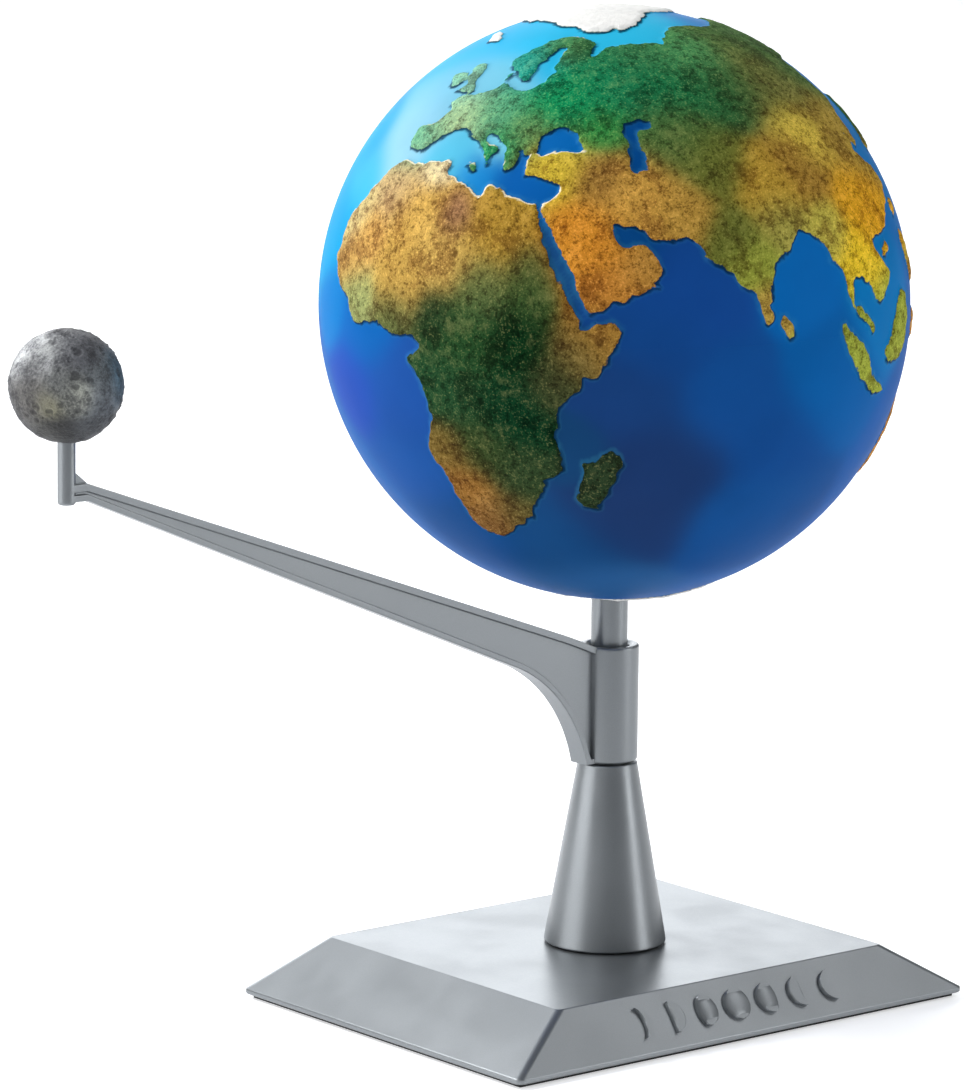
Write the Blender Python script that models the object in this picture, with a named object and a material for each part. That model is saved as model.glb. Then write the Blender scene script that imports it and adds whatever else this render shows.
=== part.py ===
"""Desk orrery: a globe on a spindle, and a small moon on a swinging arm.

A low four-sided base carries a tapered column. The spindle stands in the column, the arm's hub turns
round the spindle, the globe turns on the spindle's tip, and the moon turns on the peg at the arm's end.

The origin is the centre of the base's underside, on the spindle's axis. Z is up, the base's long side
lies along X, and the arm points along -X at rest.
"""

import math

import bmesh
import bpy
from mathutils import Matrix

MM = 0.001
GAP = 0.3 * MM                      # clearance between neighbouring pieces

# Base
BASE_LENGTH = 110 * MM
BASE_WIDTH = 82 * MM
TOP_LENGTH = 80 * MM
TOP_WIDTH = 68 * MM
BASE_TOP = 11 * MM                  # height of the base's top face
PAD_THICKNESS = 0.5 * MM
PAD_INSET = 1.5 * MM                # how far the pad stays inside the base's lower edge
LIP = 1.0 * MM                      # upright band along the base's lower edge
TOP_WALL = 2.0 * MM
SIDE_WALL_X = 3.6 * MM              # slanting walls, measured level
SIDE_WALL_Y = 2.4 * MM
PLATE_THICKNESS = 1.8 * MM

# Screws: four hold the base plate, two hold the column, one holds the spindle
SCREW_RADIUS = 1.1 * MM
SCREW_HOLE_RADIUS = SCREW_RADIUS + GAP
HEAD_RADIUS = 2.1 * MM
HEAD_HEIGHT = 1.0 * MM
SLOT_WIDTH = 0.5 * MM
SLOT_DEPTH = 0.4 * MM
BOSS_RADIUS = 3.2 * MM
BASE_SCREW_X = 34 * MM
BASE_SCREW_Y = 26 * MM
COLUMN_SCREW_X = 6.9 * MM
COLUMN_BOSS_RADIUS = 2.5 * MM
COLUMN_SCREW_TIP = 20 * MM
COLUMN_BOSS_TOP = 22 * MM
SPINDLE_SCREW_TIP = 20 * MM

# Column and spindle
COLUMN_FOOT_RADIUS = 11.6 * MM
COLUMN_NECK_RADIUS = 5.6 * MM
COLUMN_TOP = 46 * MM
COLUMN_WALL = 1.8 * MM
COLUMN_TUBE_RADIUS = 5.3 * MM
COLUMN_CAVITY_TOP = 32 * MM
SPINDLE_RADIUS = 3.45 * MM
SPINDLE_BORE = SPINDLE_RADIUS + GAP

# Arm
HUB_RADIUS = 5.65 * MM
HUB_TOP = 68.6 * MM
HUB_ROUND = 0.8 * MM
ARM_REACH = 125 * MM                # spindle axis to peg axis
ARM_WIDTH = 4.8 * MM                # across the flanges at the hub
ARM_END_WIDTH = 3.1 * MM            # across the flanges at the peg
POCKET_DEPTH = 1.0 * MM             # recess in each side at the hub
POCKET_END_DEPTH = 0.6 * MM
TOP_FLANGE = 1.4 * MM
LOWER_FLANGE = 1.1 * MM
TOP_EDGE_START = 67.2 * MM          # height of the top edge's line where it meets the spindle's axis
TOP_EDGE_SLOPE = 0.368
LOW_EDGE_START = 56.8 * MM
LOW_EDGE_SLOPE = 0.428
ROOT_REACH = 8 * MM                 # the top edge rises over the hub's top here
ROOT_RISE = 1.0 * MM
ROOT_END = 14 * MM                  # from here on the top edge is straight
BEND = 121.5 * MM                   # where the sloping beam turns level
SWEEP_RADIUS = 30 * MM              # concave sweep under the arm, down to the hub's foot
SWEEP_START = 24.5 * MM
PEG_RADIUS = 1.6 * MM
PEG_FOOT = 108.3 * MM
PEG_TOP = 130.2 * MM
GUSSET_LENGTH = 3.8 * MM
GUSSET_HEIGHT = 3.2 * MM
GUSSET_THICKNESS = 1.8 * MM

# Globe
EARTH_RADIUS = 55 * MM
EARTH_CENTRE = 133 * MM
EARTH_WALL = 2.0 * MM
EARTH_HOLE_RADIUS = SPINDLE_BORE + 0.1 * MM
SEAT = 0.6 * MM                     # flat seats for the socket's ends, inside each pole
SOCKET_RADIUS = 5.4 * MM
SOCKET_WEB = 4.0 * MM               # the plug inside the socket that rests on the spindle's tip
COLLAR_RADIUS = 7.6 * MM
COLLAR_HEIGHT = 14 * MM
TONGUE_HEIGHT = 2.5 * MM
TONGUE_THICKNESS = 1.3 * MM
TONGUE_PLAY = 0.5 * MM              # between the south shell's tongue and the north shell

# Moon
MOON_RADIUS = 10 * MM
MOON_CENTRE = 129.3 * MM
MOON_WALL = 1.4 * MM
MOON_COLLAR_RADIUS = 3.4 * MM
MOON_TONGUE_THICKNESS = 0.9 * MM
MOON_TONGUE_HEIGHT = 1.2 * MM

TURNED_STEPS = 36
GLOBE_STEPS = 48
MOON_STEPS = 32
SCREW_STEPS = 12


def clear_scene():
    for item in list(bpy.data.objects):
        bpy.data.objects.remove(item)


def make_material(name, colour, roughness, metallic=0.0):
    surface = bpy.data.materials.new(name)
    surface.use_nodes = True
    shader = surface.node_tree.nodes["Principled BSDF"]
    shader.inputs["Base Color"].default_value = (*colour, 1.0)
    shader.inputs["Roughness"].default_value = roughness
    shader.inputs["Metallic"].default_value = metallic
    return surface


def make_empty(name, location, parent=None):
    empty = bpy.data.objects.new(name, None)
    empty.location = location
    empty.parent = parent
    bpy.context.scene.collection.objects.link(empty)
    return empty


def make_object(name, mesh, surface=None, location=(0, 0, 0), parent=None):
    item = bpy.data.objects.new(name, mesh)
    item.location = location
    item.parent = parent
    bpy.context.scene.collection.objects.link(item)
    if surface:
        mesh.materials.append(surface)
    return item


def make_form(name, mesh, location=(0, 0, 0), parent=None):
    """A helper shape that a Boolean joins to a piece or takes from it. It isn't a piece itself."""
    form = make_object(name, mesh, location=location, parent=parent)
    form.hide_render = True
    form.display_type = "WIRE"
    return form


def combine(target, form, operation):
    modifier = target.modifiers.new(form.name, "BOOLEAN")
    modifier.operation = operation
    modifier.solver = "EXACT"
    modifier.object = form


def finish_mesh(name, shape):
    bmesh.ops.recalc_face_normals(shape, faces=shape.faces)
    mesh = bpy.data.meshes.new(name)
    shape.to_mesh(mesh)
    shape.free()
    mesh.shade_smooth()
    mesh.set_sharp_from_angle(angle=math.radians(30))
    return mesh


def turned(name, profile, steps=TURNED_STEPS):
    """A closed (radius, height) outline spun about Z."""
    shape = bmesh.new()
    ring = [shape.verts.new((radius, 0, height)) for radius, height in profile]
    edges = [shape.edges.new((ring[i - 1], ring[i])) for i in range(len(ring))]
    bmesh.ops.spin(
        shape, geom=ring + edges, cent=(0, 0, 0), axis=(0, 0, 1), angle=math.tau, steps=steps
    )
    bmesh.ops.remove_doubles(shape, verts=shape.verts, dist=1e-6)
    return finish_mesh(name, shape)


def side_plate(name, outline, near_y, far_y):
    """A closed outline of (reach along -X, height) points, between two upright side planes.

    near_y and far_y give each plane's Y at a reach.
    """
    shape = bmesh.new()
    near = [shape.verts.new((-reach, near_y(reach), height)) for reach, height in outline]
    far = [shape.verts.new((-reach, far_y(reach), height)) for reach, height in outline]
    shape.faces.new(near)
    shape.faces.new(far)
    for i in range(len(outline)):
        shape.faces.new((near[i - 1], near[i], far[i], far[i - 1]))
    return finish_mesh(name, shape)


def stacked_slabs(name, sections):
    """A four-sided solid through level rectangles, each (length, width, height), from the bottom up."""
    shape = bmesh.new()
    loops = []
    for length, width, height in sections:
        corners = [(-1, -1), (1, -1), (1, 1), (-1, 1)]
        loops.append([shape.verts.new((x * length / 2, y * width / 2, height)) for x, y in corners])
    shape.faces.new(loops[0])
    shape.faces.new(loops[-1])
    for lower, upper in zip(loops, loops[1:]):
        for i in range(4):
            shape.faces.new((lower[i - 1], lower[i], upper[i], upper[i - 1]))
    return finish_mesh(name, shape)


def cylinder(name, radius, low, high, steps=SCREW_STEPS):
    return turned(name, [(0, high), (radius, high), (radius, low), (0, low)], steps)


def arc(centre, radius, start, end, steps):
    """Points round a centre, from one angle in degrees to another, both included."""
    points = []
    for i in range(steps + 1):
        angle = math.radians(start + (end - start) * i / steps)
        points.append((centre[0] + radius * math.cos(angle), centre[1] + radius * math.sin(angle)))
    return points


# --- Base ---------------------------------------------------------------------------------------

COVER_FOOT = PAD_THICKNESS + GAP
PLATE_TOP = COVER_FOOT + PLATE_THICKNESS
CAVITY_FOOT = PLATE_TOP + GAP
CAVITY_TOP = BASE_TOP - TOP_WALL


def base_size(height):
    """Outer length and width of the base's slanting sides at a height."""
    part = (height - COVER_FOOT - LIP) / (BASE_TOP - COVER_FOOT - LIP)
    part = max(0.0, part)
    length = BASE_LENGTH + (TOP_LENGTH - BASE_LENGTH) * part
    width = BASE_WIDTH + (TOP_WIDTH - BASE_WIDTH) * part
    return length, width


def cavity_size(height):
    length, width = base_size(height)
    return length - 2 * SIDE_WALL_X, width - 2 * SIDE_WALL_Y


def build_base(silver, plate_surface, pad_surface, steel):
    sections = [
        (*base_size(COVER_FOOT), COVER_FOOT),
        (*base_size(COVER_FOOT), COVER_FOOT + LIP),
        (*base_size(BASE_TOP), BASE_TOP),
    ]
    cover = make_object("base_cover", stacked_slabs("base_cover", sections), silver)
    rebate = cavity_size(CAVITY_FOOT)
    hollow = make_form(
        "base_hollow",
        stacked_slabs(
            "base_hollow",
            [
                (*rebate, COVER_FOOT - LIP),
                (*rebate, CAVITY_FOOT),
                (*cavity_size(CAVITY_TOP), CAVITY_TOP),
            ],
        ),
    )
    combine(cover, hollow, "DIFFERENCE")
    plate_size = [side - 2 * GAP for side in rebate]
    plate = make_object(
        "base_plate",
        stacked_slabs("base_plate", [(*plate_size, COVER_FOOT), (*plate_size, PLATE_TOP)]),
        plate_surface,
    )
    pad_size = (BASE_LENGTH - 2 * PAD_INSET, BASE_WIDTH - 2 * PAD_INSET)
    make_object(
        "base_pad",
        stacked_slabs("base_pad", [(*pad_size, 0), (*pad_size, PAD_THICKNESS)]),
        pad_surface,
    )
    boss = cylinder("base_boss", BOSS_RADIUS, CAVITY_FOOT, CAVITY_TOP + TOP_WALL / 2)
    bore = cylinder("base_bore", SCREW_HOLE_RADIUS, CAVITY_FOOT - LIP, CAVITY_TOP)
    recess = turned(
        "plate_recess",
        [
            (0, PLATE_TOP + LIP),
            (SCREW_HOLE_RADIUS, PLATE_TOP + LIP),
            (SCREW_HOLE_RADIUS, COVER_FOOT + HEAD_HEIGHT + GAP),
            (HEAD_RADIUS + GAP, COVER_FOOT + HEAD_HEIGHT + GAP),
            (HEAD_RADIUS + GAP, COVER_FOOT - LIP),
            (0, COVER_FOOT - LIP),
        ],
        SCREW_STEPS,
    )
    screw = screw_mesh("base_screw", CAVITY_TOP - GAP - COVER_FOOT)
    places = [(x, y) for y in (-BASE_SCREW_Y, BASE_SCREW_Y) for x in (-BASE_SCREW_X, BASE_SCREW_X)]
    for number, (x, y) in enumerate(places, start=1):
        combine(cover, make_form(f"base_boss_{number}", boss, (x, y, 0)), "UNION")
        combine(cover, make_form(f"base_bore_{number}", bore, (x, y, 0)), "DIFFERENCE")
        combine(plate, make_form(f"plate_recess_{number}", recess, (x, y, 0)), "DIFFERENCE")
        make_object(f"base_screw_{number}", screw, steel, (x, y, COVER_FOOT))
    hole = cylinder("cover_hole", SCREW_HOLE_RADIUS, CAVITY_TOP - LIP, BASE_TOP + LIP)
    for number, x in enumerate((-COLUMN_SCREW_X, 0, COLUMN_SCREW_X), start=1):
        combine(cover, make_form(f"cover_hole_{number}", hole, (x, 0, 0)), "DIFFERENCE")


def screw_mesh(name, length):
    """A slotted pan-head screw that points up, with its head's face at height 0."""
    shape = bmesh.new()
    profile = [
        (0, 0),
        (HEAD_RADIUS * 0.75, 0),
        (HEAD_RADIUS, HEAD_HEIGHT * 0.4),
        (HEAD_RADIUS, HEAD_HEIGHT),
        (SCREW_RADIUS, HEAD_HEIGHT),
        (SCREW_RADIUS, length - SCREW_RADIUS),
        (0, length),
    ]
    ring = [shape.verts.new((radius, 0, height)) for radius, height in profile]
    edges = [shape.edges.new(pair) for pair in zip(ring, ring[1:])]
    bmesh.ops.spin(
        shape, geom=ring + edges, cent=(0, 0, 0), axis=(0, 0, 1), angle=math.tau, steps=SCREW_STEPS
    )
    bmesh.ops.remove_doubles(shape, verts=shape.verts, dist=1e-6)
    return finish_mesh(name, shape)


def cut_slot(screw, parent=None):
    slot = bmesh.new()
    size = Matrix.Diagonal((3 * HEAD_RADIUS, SLOT_WIDTH, 2 * SLOT_DEPTH, 1))
    bmesh.ops.create_cube(slot, size=1, matrix=size)
    form = make_form(f"{screw.name}_slot", finish_mesh("screw_slot", slot), screw.location, parent)
    combine(screw, form, "DIFFERENCE")


# --- Column and spindle --------------------------------------------------------------------------

COLUMN_FOOT = BASE_TOP + GAP
SPINDLE_FOOT = COLUMN_FOOT + GAP
SPINDLE_TOP = EARTH_CENTRE - GAP


def column_radius(height):
    part = (height - COLUMN_FOOT) / (COLUMN_TOP - COLUMN_FOOT)
    return COLUMN_FOOT_RADIUS + (COLUMN_NECK_RADIUS - COLUMN_FOOT_RADIUS) * part


def build_column(silver, steel):
    profile = [
        (SPINDLE_BORE, COLUMN_TOP),
        (COLUMN_NECK_RADIUS, COLUMN_TOP),
        (COLUMN_FOOT_RADIUS, COLUMN_FOOT),
        (COLUMN_FOOT_RADIUS - COLUMN_WALL, COLUMN_FOOT),
        (column_radius(COLUMN_CAVITY_TOP) - COLUMN_WALL, COLUMN_CAVITY_TOP),
        (COLUMN_TUBE_RADIUS, COLUMN_CAVITY_TOP),
        (COLUMN_TUBE_RADIUS, COLUMN_FOOT),
        (SPINDLE_BORE, COLUMN_FOOT),
    ]
    column = make_object("column", turned("column", profile), silver)
    boss = cylinder("column_boss", COLUMN_BOSS_RADIUS, COLUMN_FOOT + 2 * GAP, COLUMN_BOSS_TOP)
    bore = cylinder("column_bore", SCREW_HOLE_RADIUS, COLUMN_FOOT - LIP, COLUMN_SCREW_TIP + GAP)
    head = CAVITY_TOP - GAP - HEAD_HEIGHT
    screw = screw_mesh("column_screw", COLUMN_SCREW_TIP - head)
    for number, x in enumerate((-COLUMN_SCREW_X, COLUMN_SCREW_X), start=1):
        combine(column, make_form(f"column_boss_{number}", boss, (x, 0, 0)), "UNION")
        combine(column, make_form(f"column_bore_{number}", bore, (x, 0, 0)), "DIFFERENCE")
        make_object(f"column_screw_{number}", screw, steel, (x, 0, head))


def build_spindle(silver, steel):
    chamfer = SPINDLE_RADIUS * 0.8
    profile = [
        (0, SPINDLE_TOP),
        (chamfer, SPINDLE_TOP),
        (SPINDLE_RADIUS, SPINDLE_TOP - (SPINDLE_RADIUS - chamfer)),
        (SPINDLE_RADIUS, SPINDLE_FOOT),
        (SCREW_HOLE_RADIUS, SPINDLE_FOOT),
        (SCREW_HOLE_RADIUS, SPINDLE_SCREW_TIP + GAP),
        (0, SPINDLE_SCREW_TIP + GAP),
    ]
    make_object("spindle", turned("spindle", profile), silver)
    head = CAVITY_TOP - GAP - HEAD_HEIGHT
    screw = screw_mesh("spindle_screw", SPINDLE_SCREW_TIP - head)
    make_object("spindle_screw", screw, steel, (0, 0, head))


# --- Arm -----------------------------------------------------------------------------------------

HUB_FOOT = COLUMN_TOP + GAP


def top_edge(reach):
    return TOP_EDGE_START + TOP_EDGE_SLOPE * reach


def low_edge(reach):
    return LOW_EDGE_START + LOW_EDGE_SLOPE * reach


def sweep_centre():
    """Centre of the arc that is tangent to the beam's lower edge where the sweep starts."""
    run = math.hypot(1, LOW_EDGE_SLOPE)
    down = (LOW_EDGE_SLOPE / run, -1 / run)
    return (
        SWEEP_START + SWEEP_RADIUS * down[0],
        low_edge(SWEEP_START) + SWEEP_RADIUS * down[1],
    )


def sweep(radius, foot):
    """The arc from the beam's lower edge down to a height, as points from the beam to the foot."""
    centre = sweep_centre()
    start = 90 + math.degrees(math.atan(LOW_EDGE_SLOPE))
    end = 180 - math.degrees(math.asin((foot - centre[1]) / radius))
    return arc(centre, radius, start, end, 12)


def beam_outline():
    """Side outline of the arm's beam, from the hub along the top edge and back along the lower one."""
    inside_hub = HUB_RADIUS * 0.75
    level = top_edge(BEND)
    return [
        (inside_hub, HUB_TOP - ROOT_RISE),
        (ROOT_REACH, HUB_TOP + ROOT_RISE),
        (ROOT_END, top_edge(ROOT_END)),
        (BEND, level),
        (ARM_REACH, level),
        (ARM_REACH, low_edge(BEND)),
        (BEND, low_edge(BEND)),
        *sweep(SWEEP_RADIUS, HUB_FOOT),
        (inside_hub, HUB_FOOT),
    ]


def pocket_outline():
    """Outline of the shallow recess in each side of the beam, inside its flanges."""
    inside_hub = HUB_RADIUS * 0.85
    level = top_edge(BEND) - TOP_FLANGE
    end = ARM_REACH - PEG_RADIUS
    lift = LOWER_FLANGE * math.hypot(1, LOW_EDGE_SLOPE)
    return [
        (inside_hub, HUB_TOP - ROOT_RISE - TOP_FLANGE),
        (ROOT_REACH, HUB_TOP + ROOT_RISE - TOP_FLANGE),
        (ROOT_END, top_edge(ROOT_END) - TOP_FLANGE),
        (BEND, level),
        (end, level),
        (end, low_edge(BEND) + LOWER_FLANGE),
        (BEND, low_edge(BEND) + lift),
        *sweep(SWEEP_RADIUS + LOWER_FLANGE, HUB_FOOT + LOWER_FLANGE),
        (inside_hub, HUB_FOOT + LOWER_FLANGE),
    ]


def half_width(reach):
    return (ARM_WIDTH + (ARM_END_WIDTH - ARM_WIDTH) * reach / ARM_REACH) / 2


def web_half(reach):
    depth = POCKET_DEPTH + (POCKET_END_DEPTH - POCKET_DEPTH) * reach / ARM_REACH
    return half_width(reach) - depth


def build_arm(silver):
    beam = side_plate("arm", beam_outline(), lambda x: -half_width(x), half_width)
    arm = make_object("arm", beam, silver)
    pocket = pocket_outline()
    near = side_plate("pocket_near", pocket, lambda x: -half_width(x) - LIP, lambda x: -web_half(x))
    far = side_plate("pocket_far", pocket, web_half, lambda x: half_width(x) + LIP)
    combine(arm, make_form("pocket_near", near), "DIFFERENCE")
    combine(arm, make_form("pocket_far", far), "DIFFERENCE")
    hub_profile = [
        (SPINDLE_BORE, HUB_TOP),
        (HUB_RADIUS - HUB_ROUND, HUB_TOP),
        (HUB_RADIUS - HUB_ROUND * 0.3, HUB_TOP - HUB_ROUND * 0.3),
        (HUB_RADIUS, HUB_TOP - HUB_ROUND),
        (HUB_RADIUS, HUB_FOOT),
        (SPINDLE_BORE, HUB_FOOT),
    ]
    combine(arm, make_form("hub_form", turned("hub_form", hub_profile)), "UNION")
    gusset_foot = ARM_REACH - PEG_RADIUS / 2 - GUSSET_LENGTH
    level = top_edge(BEND) - TOP_FLANGE / 2
    gusset = [
        (gusset_foot, level),
        (gusset_foot + GUSSET_LENGTH, level + GUSSET_HEIGHT),
        (gusset_foot + GUSSET_LENGTH, level),
    ]
    gusset_side = GUSSET_THICKNESS / 2
    gusset_mesh = side_plate("gusset_form", gusset, lambda x: -gusset_side, lambda x: gusset_side)
    combine(arm, make_form("gusset_form", gusset_mesh), "UNION")
    peg_profile = [
        (0, PEG_TOP),
        (PEG_RADIUS * 0.7, PEG_TOP),
        (PEG_RADIUS, PEG_TOP - PEG_RADIUS * 0.3),
        (PEG_RADIUS, PEG_FOOT + PEG_RADIUS * 0.3),
        (PEG_RADIUS * 0.7, PEG_FOOT),
        (0, PEG_FOOT),
    ]
    peg = make_form("peg_form", turned("peg_form", peg_profile, TURNED_STEPS // 2), (-ARM_REACH, 0, 0))
    combine(arm, peg, "UNION")


# --- Globe and moon ------------------------------------------------------------------------------


def ring_height(radius, ring):
    """Height above the centre where a sphere has a given ring radius."""
    return math.sqrt(radius ** 2 - ring ** 2)


def ring_angle(radius, ring):
    return math.degrees(math.acos(ring / radius))


def build_earth(painted, plain):
    axis = make_empty("earth_axis", (0, 0, EARTH_CENTRE))
    inner = EARTH_RADIUS - EARTH_WALL
    half_gap = GAP / 2
    seam = math.degrees(math.asin(half_gap / EARTH_RADIUS))
    inner_seam = math.degrees(math.asin(half_gap / inner))
    hole = EARTH_HOLE_RADIUS
    collar_bore = SOCKET_RADIUS + GAP
    floor = -ring_height(inner, hole) + SEAT
    tongue_outer = inner - TONGUE_PLAY
    tongue_inner = tongue_outer - TONGUE_THICKNESS
    under = -ring_angle(inner, tongue_inner)
    south = [
        *arc((0, 0), EARTH_RADIUS, -ring_angle(EARTH_RADIUS, hole), -seam, 11),
        (tongue_outer, -half_gap),
        (tongue_outer, TONGUE_HEIGHT),
        (tongue_inner, TONGUE_HEIGHT),
        *arc((0, 0), inner, under, -ring_angle(inner, COLLAR_RADIUS), 5),
        (COLLAR_RADIUS, -inner + COLLAR_HEIGHT),
        (collar_bore, -inner + COLLAR_HEIGHT),
        (collar_bore, floor),
        (hole, floor),
    ]
    make_object("earth_south", turned("earth_south", south, GLOBE_STEPS), painted, parent=axis)

    roof = ring_height(inner, hole) - SEAT
    north = [
        *arc((0, 0), EARTH_RADIUS, seam, 90, 11),
        (0, roof),
        (collar_bore, roof),
        (collar_bore, inner - COLLAR_HEIGHT),
        (COLLAR_RADIUS, inner - COLLAR_HEIGHT),
        *arc((0, 0), inner, ring_angle(inner, COLLAR_RADIUS), inner_seam, 5),
    ]
    make_object("earth_north", turned("earth_north", north, GLOBE_STEPS), painted, parent=axis)

    socket = [
        (0, SOCKET_WEB),
        (SPINDLE_BORE, SOCKET_WEB),
        (SPINDLE_BORE, roof - GAP),
        (SOCKET_RADIUS, roof - GAP),
        (SOCKET_RADIUS, floor + GAP),
        (SPINDLE_BORE, floor + GAP),
        (SPINDLE_BORE, 0),
        (0, 0),
    ]
    make_object("earth_socket", turned("earth_socket", socket), plain, parent=axis)


def build_moon(painted):
    axis = make_empty("moon_axis", (-ARM_REACH, 0, MOON_CENTRE))
    inner = MOON_RADIUS - MOON_WALL
    half_gap = GAP / 2
    seam = math.degrees(math.asin(half_gap / MOON_RADIUS))
    inner_seam = math.degrees(math.asin(half_gap / inner))
    bore = PEG_RADIUS + GAP
    bore_roof = PEG_TOP - MOON_CENTRE + GAP
    tongue_outer = inner - GAP
    tongue_inner = tongue_outer - MOON_TONGUE_THICKNESS
    lower = [
        *arc((0, 0), MOON_RADIUS, -ring_angle(MOON_RADIUS, bore), -seam, 7),
        (tongue_outer, -half_gap),
        (tongue_outer, MOON_TONGUE_HEIGHT),
        (tongue_inner, MOON_TONGUE_HEIGHT),
        *arc(
            (0, 0),
            inner,
            -ring_angle(inner, tongue_inner),
            -ring_angle(inner, MOON_COLLAR_RADIUS),
            4,
        ),
        (MOON_COLLAR_RADIUS, bore_roof + MOON_WALL),
        (0, bore_roof + MOON_WALL),
        (0, bore_roof),
        (bore, bore_roof),
    ]
    make_object("moon_lower", turned("moon_lower", lower, MOON_STEPS), painted, parent=axis)
    upper = [
        *arc((0, 0), MOON_RADIUS, seam, 90, 7),
        *arc((0, 0), inner, 90, inner_seam, 5),
    ]
    make_object("moon_upper", turned("moon_upper", upper, MOON_STEPS), painted, parent=axis)


def main():
    clear_scene()
    silver = make_material("silver_plastic", (0.42, 0.44, 0.45), 0.38, 0.35)
    plate_surface = make_material("grey_plastic", (0.20, 0.21, 0.22), 0.55)
    pad_surface = make_material("black_foam", (0.03, 0.03, 0.03), 0.9)
    steel = make_material("steel", (0.55, 0.55, 0.56), 0.3, 1.0)
    white = make_material("white_plastic", (0.75, 0.75, 0.73), 0.45)
    earth_paint = make_material("earth_paint", (0.05, 0.28, 0.62), 0.35)
    moon_paint = make_material("moon_paint", (0.36, 0.36, 0.37), 0.75)
    build_base(silver, plate_surface, pad_surface, steel)
    build_column(silver, steel)
    build_spindle(silver, steel)
    build_arm(silver)
    build_earth(earth_paint, white)
    build_moon(moon_paint)
    for item in list(bpy.data.objects):
        if "_screw" in item.name and item.type == "MESH" and not item.hide_render:
            cut_slot(item)


main()
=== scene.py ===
"""Looks for a desk orrery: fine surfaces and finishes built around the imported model's fixed frame.

The stand's base, column and spindle, the swinging arm, the globe's two half shells and the moon's two
half shells are each worked out as numpy surfaces that replace the plain packed ones. The pieces that
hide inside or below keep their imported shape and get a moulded, foam or plated finish.
"""

import logging
import math
from dataclasses import dataclass, field
from enum import Enum

import bpy
import numpy as np
from mathutils import Matrix, Vector


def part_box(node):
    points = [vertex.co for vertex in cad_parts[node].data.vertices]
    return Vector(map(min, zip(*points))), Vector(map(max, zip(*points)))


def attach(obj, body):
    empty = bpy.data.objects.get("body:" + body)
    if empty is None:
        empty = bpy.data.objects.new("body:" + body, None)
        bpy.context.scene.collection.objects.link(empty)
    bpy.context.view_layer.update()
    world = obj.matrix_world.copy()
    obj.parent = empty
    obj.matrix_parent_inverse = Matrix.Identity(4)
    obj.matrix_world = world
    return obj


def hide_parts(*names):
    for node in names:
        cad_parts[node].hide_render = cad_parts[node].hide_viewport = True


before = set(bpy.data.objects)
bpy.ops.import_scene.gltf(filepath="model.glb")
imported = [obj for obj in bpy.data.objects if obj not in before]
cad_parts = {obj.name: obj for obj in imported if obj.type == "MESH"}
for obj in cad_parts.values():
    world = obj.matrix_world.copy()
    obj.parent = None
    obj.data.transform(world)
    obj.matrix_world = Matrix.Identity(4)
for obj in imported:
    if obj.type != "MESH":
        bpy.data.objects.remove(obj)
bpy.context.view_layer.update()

MM = 0.001
Triple = tuple[float, float, float]
log = logging.getLogger("orrery")


# --- Colours ------------------------------------------------------------------------------------


def srgb(red: float, green: float, blue: float) -> np.ndarray:
    """Turn a display colour into a linear one.

    Each channel c, from 0 to 255, becomes ((c / 255 + 0.055) / 1.055) to the power 2.4. A channel above 255
    makes a factor that brightens what it multiplies.

    Args:
        red: Red, from 0 to 255.
        green: Green, from 0 to 255.
        blue: Blue, from 0 to 255.

    Returns:
        The three linear channels.
    """
    return ((np.array([red, green, blue]) / 255 + 0.055) / 1.055) ** 2.4


# --- Shader maths -------------------------------------------------------------------------------


class Value:
    """A number that varies over a surface: an output socket that Python's operators work on."""

    def __init__(self, shader: "Shader", socket: bpy.types.NodeSocket) -> None:
        """Wrap a socket of a shader's node tree."""
        self.shader = shader
        self.socket = socket

    def _math(self, operation: str, first: "Value | float", second: "Value | float" = 0.0) -> "Value":
        """Add a Math node for an operation on two numbers."""
        node = self.shader.node("ShaderNodeMath", {"operation": operation}, {0: first, 1: second})
        return Value(self.shader, node.outputs[0])

    def __add__(self, other: "Value | float") -> "Value":
        """Add."""
        return self._math("ADD", self, other)

    __radd__ = __add__

    def __sub__(self, other: "Value | float") -> "Value":
        """Take away."""
        return self._math("SUBTRACT", self, other)

    def __rsub__(self, other: float) -> "Value":
        """Be taken away from a plain number."""
        return self._math("SUBTRACT", other, self)

    def __mul__(self, other: "Value | float") -> "Value":
        """Multiply."""
        return self._math("MULTIPLY", self, other)

    __rmul__ = __mul__

    def step(self, low: float, high: float) -> "Value":
        """Rise smoothly from 0 at low to 1 at high.

        Args:
            low: Value that gives 0.
            high: Value that gives 1.

        Returns:
            The smooth step, held at 0 and 1 outside.
        """
        settings = {"interpolation_type": "SMOOTHSTEP"}
        node = self.shader.node("ShaderNodeMapRange", settings, {0: self, 1: low, 2: high})
        return Value(self.shader, node.outputs[0])


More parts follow.
